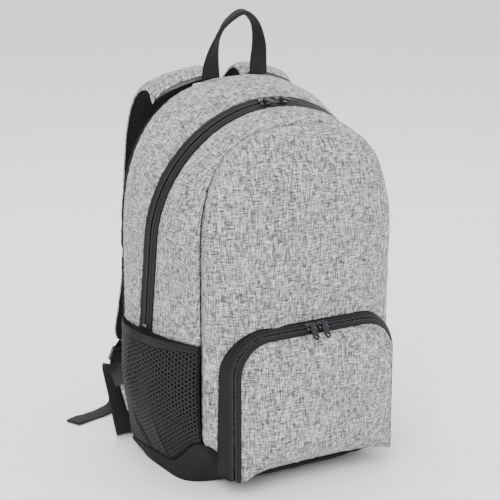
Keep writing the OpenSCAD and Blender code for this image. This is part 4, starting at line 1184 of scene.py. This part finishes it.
# the grey face: a full, domed pocket sewn in at its foot
def makePocketFace():
    p, faceY = pocket, pocket["y"] - pocket["bandDeep"] - 0.3
    x, z = pocketCentre(np.linspace(0, p["run"], p["faceRows"]), -p["bandOut"])
    t = np.linspace(0.985, -0.985, 70)
    dip = 1 - np.abs(t) ** 4
    foot = t * (p["hw"] - p["bandOut"])
    sewn = mix(faceY, frontFace(foot, p["foot"]) - p["hem"], dip)
    edge = np.concatenate([xyz(x, faceY, z), xyz(foot, sewn, p["foot"] - 1.2 * dip)])
    share = np.concatenate([np.linspace(0.03, 0.9, 34),
        [0.925, 0.945, 0.962, 0.976, 0.987, 0.995, 1.0]])[:, None]
    grid = xyz(edge[:, 0] * share, mix(p["front"], edge[:, 1], share ** 5), mix(p["mid"], edge[:, 2], share))
    normal, off, along = domeOf(grid, p["core"])
    lift = softness(grid, off, p["lumps"]) + (seamRelief(off, along, *p["seam"]) - 0.2)
    grid = grid + normal * lift[..., None]
    grid[..., 1] = np.maximum(grid[..., 1], p["front"] - 1.5)
    uv = spokeUv(grid, np.array([0, p["front"], p["mid"]]), (0, p["mid"]))
    centre = (np.array([0, p["front"] - 0.2, p["mid"]]), (0, p["mid"]))
    face = clothSheet("pocketPanel", grid, uv, "heather", 1.3, wrap=True, centre=centre, core=p["core"])
    flat, area = patternOf(uv)
    settleSheet(face, "heather", ["pocket_panel"], flat, ["pocketZipTapeFront", "baseSkirt"], area=area)
    n = p["faceRows"]
    stitchRow("pocketStitches", [(grid[-7][:n], normal[-7][:n])], "greyThread", "root", "heather")
    print("front pocket made")


makeZip("pocketZip", pocketLine, pocket["w"], np.linspace(0.3, pocket["run"] - 0.3, pocket["tapeRows"]), -1,
    "pocket", ("pocketGusset", "pocketPanel"))
makePocketStrip()
makePocketFlaps()
makePocketFace()

# mesh side pockets with their elastic tops
sidePocket = {"cols": 84, "rows": 60, "belly": 22.0, "off": 0.7, "bind": 9 / 156, "foot": 0.985, "pleat": 2.2,
    "pleats": (0.36, 0.64), "bindingWide": 0.0105,
    "bindRows": np.array([0.0, 0.002, 0.006, 0.02, 0.036, 0.052, 0.058, 0.062]),
    "bindOut": np.array([0.1, 0.8, 1.3, 1.45, 1.3, 1.45, 1.1, 0.3])}


def pocketNet(v, cols):
    p, grid = sidePocket, sideAt(v, cols)
    u = np.clip((grid[:1, :, 1] - bag["frontY"]) / (bag["backY"] - bag["frontY"]), 0, 1)
    v = np.asarray(v)[:, None]
    arch = np.maximum(np.sin(np.pi * u), 0) ** 0.7
    grid[..., 0] += p["off"] + p["belly"] * arch * np.sin(np.pi * mix(0.14, 1.0, v))
    for place in p["pleats"]:
        off = (u - place) * 150 / 2.6
        grid[..., 0] -= (p["pleat"] * (np.exp(-off ** 2) - 0.6 * np.exp(-(off - 2.4) ** 2))
            * smooth((v - 0.5) / 0.35))
    return grid


def makeSidePockets():
    p = sidePocket
    for tag, flip in hands:
        grid = pocketNet(np.linspace(p["bind"] + 0.002, p["foot"], p["rows"]), p["cols"])
        grid[..., 0] += 0.3 + 0.5 * lumps(grid, 45, 61) * smooth((grid[..., 0] - 150) / 8)
        uv = xyz(runLength(grid, axis=1), runLength(grid))
        net = clothSheet("pocketMesh" + tag, grid * flip, uv, "net", 0.5, core=lower["core"])
        settleSheet(net, "pocket_mesh", ["mesh_pocket_" + tag.lower()],
            (float(uv[..., 0].max()) * mm, float(uv[..., 1].max()) * mm), ["lowerSide" + tag])
        grid = pocketNet(p["bindRows"], p["cols"])
        gather = 0.16 * np.sin(runLength(grid, axis=1) * 2 * math.pi / 3.1)
        grid[..., 0] += p["bindOut"][:, None] + gather
        uv = xyz(runLength(grid), runLength(grid, axis=1))
        rim = clothSheet("pocketBinding" + tag, grid * flip, uv, "tape", 0.9, core=lower["core"])
        settleSheet(rim, "tape", ["mesh_binding_" + tag.lower()],
            (p["bindingWide"], float(uv[..., 1].max()) * mm), ["pocketMesh" + tag])
    print("mesh pockets made")


makeSidePockets()

# shoulder straps
strap = {"wide": 84.0, "endWide": 57.0, "half": 5.0, "crown": 5.0, "droop": 0.3, "seam": 6.0, "groove": 1.7,
    "steps": 9, "sewn": 0.12, "gap": 1.5, "squareness": 9, "foamIn": 3.2, "foamHalf": 3.0, "around": 40,
    "coverFlat": (0.096, 0.436), "coverArea": 0.0355, "liningFlat": (0.085, 0.414), "liningArea": 0.029,
    "route": [[60, 82.4, 448.2], [60, 93, 453.2], [60, 110, 454], [59.5, 133, 442], [59, 155, 418],
        [58.5, 173, 386], [58, 186, 346], [58, 195, 302], [59, 200, 240], [62, 203.5, 184], [70, 203.5, 136],
        [77, 202, 108], [80.5, 201, 95]]}


# a strap's middle line, its share of the length, its width and inward directions and half width
def strapFrame():
    path = curvePoints(strap["route"], strap["steps"])
    t = np.linspace(0, 1, len(path))
    way = tangents(path)
    side = squareTo(xyz(1.0, 0.0, -strap["droop"] * smooth(1.2 - 3.2 * t)), way)
    last = np.clip((1 - t) * 36 / 5, 0, 1)
    wide = mix(strap["wide"], strap["endWide"], smooth(t * 1.05)) * mix(0.45, 1, np.sqrt(1 - (1 - last) ** 2))
    return path, t, side, np.cross(way, side), wide / 2


# lowers a strap's sewn end, so that it lies along the back seam
def sewnTop(points, t):
    x = np.clip(points[..., 0] / bag["backHw"], 0, 0.999)
    seam = bag["beltZ"] + (bag["backTop"] - bag["beltZ"]) * (1 - x ** bag["backN"]) ** (1 / bag["backN"])
    start = strap["route"][0]
    plain = start[2] - strap["droop"] * (points[..., 0] - start[0])
    bent = strap["crown"] * ((points[..., 0] - start[0]) * 2 / strap["wide"]) ** 2
    points = points.copy()
    points[..., 2] += (np.minimum(0, seam + bent + strap["half"] + strap["gap"] - plain)
        * smooth(1 - t / strap["sewn"]))
    return points


# points x across and depth inwards from a strap's middle line
def strapPoints(x, depth):
    path, t, side, inward, _ = strapFrame()
    return sewnTop(path[:, None] + x[..., None] * side[:, None] + depth[..., None] * inward[:, None],
        t[:, None])


# points on a strap's skin: turn 0 is the middle of its outer face, 180 the middle of its lining
def strapSkin(turn, grow):
    _, t, _, _, half = strapFrame()
    a, half = np.radians(turn)[None, :], half[:, None]
    x = (half + grow) * spow(np.sin(a), 2 / strap["squareness"])
    end = np.sqrt(np.clip(1 - (1 - np.clip((1 - t) / 0.022, 0, 1)) ** 2, 0.02, 1))[:, None]
    depth = -(strap["half"] + grow) * spow(np.cos(a), 2 / 2.2) * end
    fromSeam = (half - np.abs(x)) - strap["seam"]
    press = strap["groove"] * np.exp(-(fromSeam / 1.9) ** 2) + 0.22 * strap["half"] * smooth(-fromSeam / 1.5)
    depth += np.sign(np.cos(a)) * press * np.where(np.abs(depth) > 2.5, 1, 0.15)
    c = x / half
    return strapPoints(x, depth + strap["crown"] * c * c), x


# even spacing over the flat face needs bunched angles, because the section is nearly square
def faceAngles(first, last, n):
    c = np.linspace(first, last, n)
    return np.degrees(np.arcsin(np.sign(c) * np.abs(c) ** (strap["squareness"] / 2)))


# a strap's sheet; its right side looks the way out from the point seen, which is near its middle
def strapSheet(name, grid, flip, uvStart, look, thick, seen, out):
    run = runLength(grid[:, grid.shape[1] // 2])
    across = runLength(grid, axis=1)
    piece = clothSheet(name, grid * flip, xyz(across - across[:, -1:] * uvStart, run[:, None]), look, 0.0)
    seen, mesh = Vector(seen * flip * mm), piece.data
    near = min(mesh.polygons, key=lambda f: (f.center - seen).length)
    if near.normal.dot(near.center - seen if out is None else Vector(out * flip)) < 0:
        mesh.flip_normals()
    thicken(piece, thick)
    return piece


def makeStrap(tag, flip):
    low, foamName = tag.lower(), ["strapFoam" + tag]
    path, t, side, inward, half = strapFrame()
    k = len(path) // 2
    ends = np.linspace(86, 118, 8)
    turn = np.concatenate([-ends[::-1], faceAngles(-1, 1, 46)[1:-1], ends])
    grid, x = strapSkin(np.unique(np.round(np.sort(turn), 4)), 0.2)
    soft = 0.35 * lumps(grid, 38, 71 + flip[0]) * smooth((half[:, None] - np.abs(x) - 8) / 8)
    grid = grid - inward[:, None] * soft[..., None]
    cover = strapSheet("strapCover" + tag, grid, flip, 0.5, "heather", 1.1, path[k], None)
    settleSheet(cover, "heather", ["strap_cover_" + low], strap["coverFlat"], foamName, body="strap_" + low,
        area=strap["coverArea"])
    inner = 180 - faceAngles(1, -1, 30)
    grid, _ = strapSkin(np.concatenate([[100, 104], inner[(inner > 108) & (inner < 252)], [256, 260]]), -0.15)
    lining = strapSheet("strapLining" + tag, grid, flip, 0.0, "spacer", 0.9, path[k] + 5 * inward[k],
        inward[k])
    settleSheet(lining, "spacer_mesh", ["strap_lining_" + low], strap["liningFlat"], foamName,
        body="strap_" + low, area=strap["liningArea"])
    # foam inside
    a = np.radians(np.linspace(0, 360, strap["around"], endpoint=False))[None, :]
    x = (half[:, None] - strap["foamIn"]) * spow(np.sin(a), 2 / 7)
    depth = -strap["foamHalf"] * spow(np.cos(a), 2 / 2.2) + strap["crown"] * (x / half[:, None]) ** 2
    rings = strapPoints(x, depth)[1:-2] * flip
    foam = sweptSolid(foamName[0], rings, "foam", np.zeros(strap["around"]), runLength(rings[:, 0]))
    settle(foam, "strap_" + low, "foam", "strap_foam_" + low)
    # topstitching round the outer face
    lines = []
    for edge in (-1, 1):
        s = edge * (half - strap["seam"]) / half
        off = -(strap["half"] - strap["groove"] * 0.95) + strap["crown"] * s * s
        line = sewnTop(path + (s * half)[:, None] * side + off[:, None] * inward, t) * flip
        lines.append((line[3:-6], (-inward * flip)[3:-6]))
    stitchRow("strapStitches" + tag, lines, "greyThread", "strap_" + low, "heather", pitch=3.6, length=2.7)


for tag, flip in hands:
    makeStrap(tag, flip)
print("shoulder straps made")

# webbing: patches on the straps, the lower straps and the grab handle
webbing = {"wide": 24.0, "thick": 1.6, "lockX": 83.0, "lockY": 213.0, "lockZ": 85.0, "loopR": 2.9,
    "patchOff": 6.6, "endThick": np.array([1.9, 2.6, 3.0, 3.1, 3.1, 3.1, 3.1, 3.0, 2.4]),
    "route": [[149.6, 92, 80], [150.5, 103, 99], [149, 115, 97], [142, 117, 62], [136, 116, 26],
        [129, 121, 5], [118, 142, 3], [105, 166, 6], [95, 188, 26], [87, 207, 52], [83.5, 216, 69],
        [83, 216.2, 76.5], [83, 219, 80.4], [83, 223.2, 79], [83, 230, 70], [84, 230.5, 52], [88, 225, 26],
        [98, 215, 7], [122, 205, 2.6], [148, 198, 2], [170, 190, 2]],
    "sides": [[0, 1, -.6], [.3, 1, .2], [1, .3, 0]] + [[1, 0, 0]] * 12
        + [[1, .15, 0], [.9, .9, 0], [.2, 1, 0]]
        + [[0, 1, 0]] * 3}


# a box of stitches with a cross in it, along a flat strip
def boxStitch(path, side, normal, wide, edge=3.0, count=8):
    run = (runLength(path) / runLength(path)[-1])[:, None]
    left, right = path + side * (wide / 2 - edge), path - side * (wide / 2 - edge)
    ends = [(np.linspace(left[k], right[k], count), np.tile(normal[k], (count, 1))) for k in (0, -1)]
    return [(left, normal), (right, normal)] + ends + [
        (mix(left, right, run), normal), (mix(right, left, run), normal)]


def makeStrapWebbing(tag, flip):
    w, low = webbing, tag.lower()
    east = np.array([1.0, 0, 0])
    path = curvePoints(strap["route"], 3)
    way = tangents(path)
    out = -np.cross(way, squareTo(east, way))
    face = (path + w["patchOff"] * out)[-6:-1]
    turn = np.radians(np.arange(30, -211, -30))
    loop = xyz(w["lockX"], w["lockY"] + w["loopR"] * np.cos(turn), w["lockZ"] + w["loopR"] * np.sin(turn))
    line = curvePoints(np.concatenate([face, loop]), 3)
    strip = webbingStrip("strapWebbing" + tag, line * flip, east, w["wide"], w["thick"], "webbing")
    settle(strip, "strap_" + low, "webbing", "strap_webbing_" + low)
    flat = curvePoints(face, 4)[1:-1]
    way = tangents(flat)
    side = squareTo(east, way)
    rows = boxStitch(flat, side, -np.cross(way, side), w["wide"])
    stitchRow("patchStitches" + tag, [((p + 0.72 * n) * flip, n * flip) for p, n in rows], "blackThread",
        "strap_" + low, "webbing", pitch=2.8, length=2.1)
    line, sides = curvePoints(w["route"], 8), curvePoints(w["sides"], 8)
    thick = np.full(len(line), w["thick"])
    thick[-9:] = w["endThick"]
    up = 0.06 * np.sin(np.arange(len(line)) * 0.9) + np.maximum(0, (thick - w["thick"]) / 2)
    strip = webbingStrip("lowerWebbing" + tag, (line + xyz(0.0, 0.0, up)) * flip, sides * flip, w["wide"],
        thick, "webbing")
    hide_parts("lower_webbing_" + low)
    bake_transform(strip)


for tag, flip in hands:
    makeStrapWebbing(tag, flip)
print("strap webbing made")

handle = {"half": 33.0, "y": 66.0, "seat": 453.9, "lean": 19.0, "top": 79, "steps": 9, "edge": 2.2,
    "plainEnd": 22}


def makeHandle():
    h = handle["half"]
    side = [[-h, 0, 0], [-h * 0.99, -1, 18], [-h * 0.92, -6, 40], [-h * 0.68, -12, 62], [-h * 0.3, -17, 75]]
    route = side + [[0, -handle["lean"], handle["top"]]] + [[-x, y, z] for x, y, z in side[::-1]]
    path = curvePoints(route, handle["steps"]) + np.array([0, handle["y"], handle["seat"]])
    t = np.linspace(0, 1, len(path))
    k, s = smooth(1 - np.abs(2 * t - 1)), np.where(t < 0.5, 1.0, -1.0)
    sides = xyz(s * (1 - k), k, 0.15 * k)
    grip = smooth(1.6 * (1 - np.abs(2 * t - 1)))
    wide, thick = mix(24.6, 13.4, grip), mix(1.7, 4.8, grip)
    settle(webbingStrip("grabHandle", path, sides, wide, thick, "webbing"), "handle", "webbing",
        "grab_handle")
    way = tangents(path)
    across = squareTo(sides, way)
    out = np.cross(way, across)
    mid, lines = slice(handle["plainEnd"], len(path) - handle["plainEnd"]), []
    for face in (1, -1):
        for edge in (1, -1):
            line = (path + (edge * (wide / 2 - handle["edge"]))[:, None] * across
                + (face * thick / 2)[:, None] * out)
            lines.append((line[mid], (face * out)[mid]))
    stitchRow("handleStitches", lines, "blackThread", "handle", "webbing", pitch=3.2, length=2.4)
    print("grab handle made")


makeHandle()

# grey tabs at the lower back corners
tab = {"low": 49.0, "peak": 84.0, "high": 103.0, "reach": 20.0, "off": 0.4, "thick": 1.5, "slant": 0.7,
    "fill": 0.5 * 1.05}


def makeTabs():
    z = np.linspace(tab["low"], tab["high"], 30)
    up, down = (z - tab["low"]) / (tab["peak"] - tab["low"]), (tab["high"] - z) / (tab["high"] - tab["peak"])
    reach = 1 + tab["reach"] * np.clip(np.minimum(up, down), 0, 1) ** 0.95
    v = np.linspace(0, 1, 12)[None]
    y = bag["backY"] + 0.3 + v * reach[:, None]
    x = (lowSeam(z) + tab["off"] + tab["thick"])[:, None] + 0.2 * np.sin(v * 9)
    size = (float(tab["reach"] + 1) * mm, float(tab["high"] - tab["low"]) * mm)
    for tag, flip in hands:
        grid = xyz(x, y, z[:, None]) * flip
        uv = xyz(grid[..., 1] + grid[..., 2], grid[..., 2] - grid[..., 1]) * tab["slant"]
        piece = clothSheet("cornerTab" + tag, grid, uv, "heather", tab["thick"], core=(0, 80, 80))
        settleSheet(piece, "heather", ["corner_tab_" + tag.lower()], size, ["rearGusset", "backCover"],
            "folded", area=tab["fill"] * size[0] * size[1])
        rows = [grid[part, 9] + np.array([flip[0] * 0.05, 0, 0]) for part in (slice(1, 20), slice(20, 29))]
        lines = [(row, np.tile([float(flip[0]), 0, 0], (len(row), 1))) for row in rows]
        stitchRow("tabStitches" + tag, lines, "greyThread", "root", "heather", pitch=3.0, length=2.2)
    print("corner tabs made")


makeTabs()

# inside: laptop sleeve with its strap, and the power bank's pouch
inside = {"half": 125.0, "front": 50.7, "back": 79.7, "foot": 17.0, "top": 300.0, "pad": 4.4, "r": 9.0}


def makeSleeve():
    p, mirror = inside, np.array([-1, 1])
    flatHalf, r = p["half"] - p["r"], p["r"]
    a = np.radians(np.linspace(0, 90, 8))
    right = xyz(flatHalf + r * np.sin(a), p["front"] + r - r * np.cos(a))
    front = xyz(np.linspace(-flatHalf, flatHalf, 60), p["front"])
    rest = xyz(p["half"], np.linspace(p["front"] + r, p["back"] - 0.1, 9)[1:])
    line = np.concatenate([rest[::-1] * mirror, (right[::-1] * mirror)[:-1], front, right[1:], rest])
    v = np.concatenate([[0.0, 0.002, 0.006, 0.014], np.linspace(0.03, 0.985, 60), [0.994, 1.0]])[:, None]
    grid = xyz(line[:, 0], line[:, 1], mix(p["foot"] + 0.2, p["top"], v))
    # the foot is drawn in, and the top edge sags
    grid[..., 1] = mix(grid[..., 1], np.maximum(grid[..., 1], p["front"] + 4), smooth((0.014 - v) / 0.014))
    grid[..., 1] += 0.35 + 0.3 * lumps(grid, 60, 81) * smooth((p["half"] - 12 - np.abs(grid[..., 0])) / 20)
    grid[..., 2] -= 5.0 * smooth(v * 8 - 7) * np.exp(-(grid[..., 0] / 60) ** 2)
    uv = xyz(runLength(line)[None], grid[..., 2])
    sleeve = clothSheet("laptopSleeve", grid, uv, "lining", p["pad"], core=(0, 78, 150))
    settle(sleeve, "root", "lining", "laptop_sleeve")
    rim = grid[-1] + np.array([0, p["pad"] / 2, 0.2])
    rim = rim[np.abs(rim[:, 0]) < flatHalf] + np.array([0, 0, -0.6])
    tape = webbingStrip("sleeveBinding", rim, np.array([0.0, 1, 0]), 4.9, 1.6, "tape")
    settle(tape, "root", "tape")
    y, z = p["front"] - 1.4, 312.8
    route = [[0, 79.0, z], [0, 66, z + 0.1], [0, y + 4, z], [0, y + 0.6, z - 1.6], [0, y, z - 6], [0, y, 295],
        [0, y, 265]]
    strip = webbingStrip("sleeveStrap", curvePoints(route, 5), np.array([1.0, 0, 0]), 37.6, 1.5, "webbing")
    settle(strip, "closure", "webbing", "sleeve_closure")


pouch = {"middle": np.array([131, 22.5]), "halves": (9.9, 26.9), "around": 72, "low": 118.1,
    "flat": (0.144, 0.1), "rows": [(118.1, 0.5), (118.2, 0.9), (119.0, 0.98), (121.5, 1.0)]
        + [(z, 1.0) for z in np.linspace(125, 199, 26)]
        + [(200.5, 0.985), (202, 1.0), (204.5, 1.01), (205.8, 1.0)]}


def makePouch():
    p, (wide, deep) = pouch, pouch["halves"]
    turn = np.linspace(0, 2 * math.pi, p["around"], endpoint=False)
    box = xyz(spow(np.cos(turn), 2 / 6) * wide, spow(np.sin(turn), 2 / 6) * deep)
    x, y = p["middle"]
    grid = np.array([xyz(x + box[:, 0] * k, y + box[:, 1] * k, z) for z, k in p["rows"]])
    soft = 0.25 * lumps(grid, 26, 91) * np.sin(np.pi * np.clip((grid[..., 2] - 118) / 88, 0, 1))
    grid[..., :2] += soft[..., None] * unit(grid[..., :2] - p["middle"])
    uv = xyz(runLength(box)[None], grid[..., 2])
    piece = clothSheet("powerBankPouch", grid, uv, "lining", 1.1, wrap=True,
        centre=(np.array([x, y, p["low"]]), (0, 118)), core=(x, y, 160))
    settleSheet(piece, "lining", ["power_bank_pocket"], p["flat"], ["rearGusset"], "hung")
    print("inside made")


makeSleeve()
makePouch()

# hardware: worked up from the moulded and stamped solids
# look, slot and bevel of each; a name that ends in _ stands for a left and a right node
hardware = {"main_slider_": ("gunmetal", "gunmetal", 0.16), "pocket_slider_": ("gunmetal", "gunmetal", 0.16),
    "main_puller_": ("pull", "pull", 0.3), "pocket_puller_": ("pull", "pull", 0.3),
    "zip_stops": ("gunmetal", "gunmetal", 0.12), "ladder_lock_": ("lock", "lock", 0.35),
    "usb_port_base": ("port", "port", 0.45), "usb_port_nut": ("port", "port", 0.3),
    "usb_socket": ("steel", "steel", 0.06), "usb_port_cover": ("hood", "port_cover", 0.7),
    "base_board": ("board", "board", 0.5)}
edges = {"weld": 0.00002, "flat": math.radians(1.0), "bevel": math.radians(38), "smooth": math.radians(42)}


def workUp(node, look, slot, width):
    source = bpy.data.objects[node]
    first, *rest = node.split("_")
    piece = bpy.data.objects.new(first + "".join(word.capitalize() for word in rest), source.data.copy())
    bpy.context.scene.collection.objects.link(piece)
    pickOnly(piece)
    bpy.ops.object.mode_set(mode="EDIT")
    bpy.ops.mesh.select_all(action="SELECT")
    bpy.ops.mesh.remove_doubles(threshold=edges["weld"])
    bpy.ops.mesh.dissolve_limited(angle_limit=edges["flat"])
    bpy.ops.object.mode_set(mode="OBJECT")
    applyModifier(piece, "BEVEL", width=width * mm, segments=2, limit_method="ANGLE",
        angle_limit=edges["bevel"], harden_normals=False, use_clamp_overlap=True)
    bpy.ops.object.shade_smooth_by_angle(angle=edges["smooth"])
    piece.data.materials.clear()
    piece.data.materials.append(looks[look])
    settle(piece, source["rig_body"], slot, node)


for node, (look, slot, width) in hardware.items():
    for hand in ("left", "right") if node.endswith("_") else ("",):
        workUp(node + hand, look, slot, width)
print("hardware made")
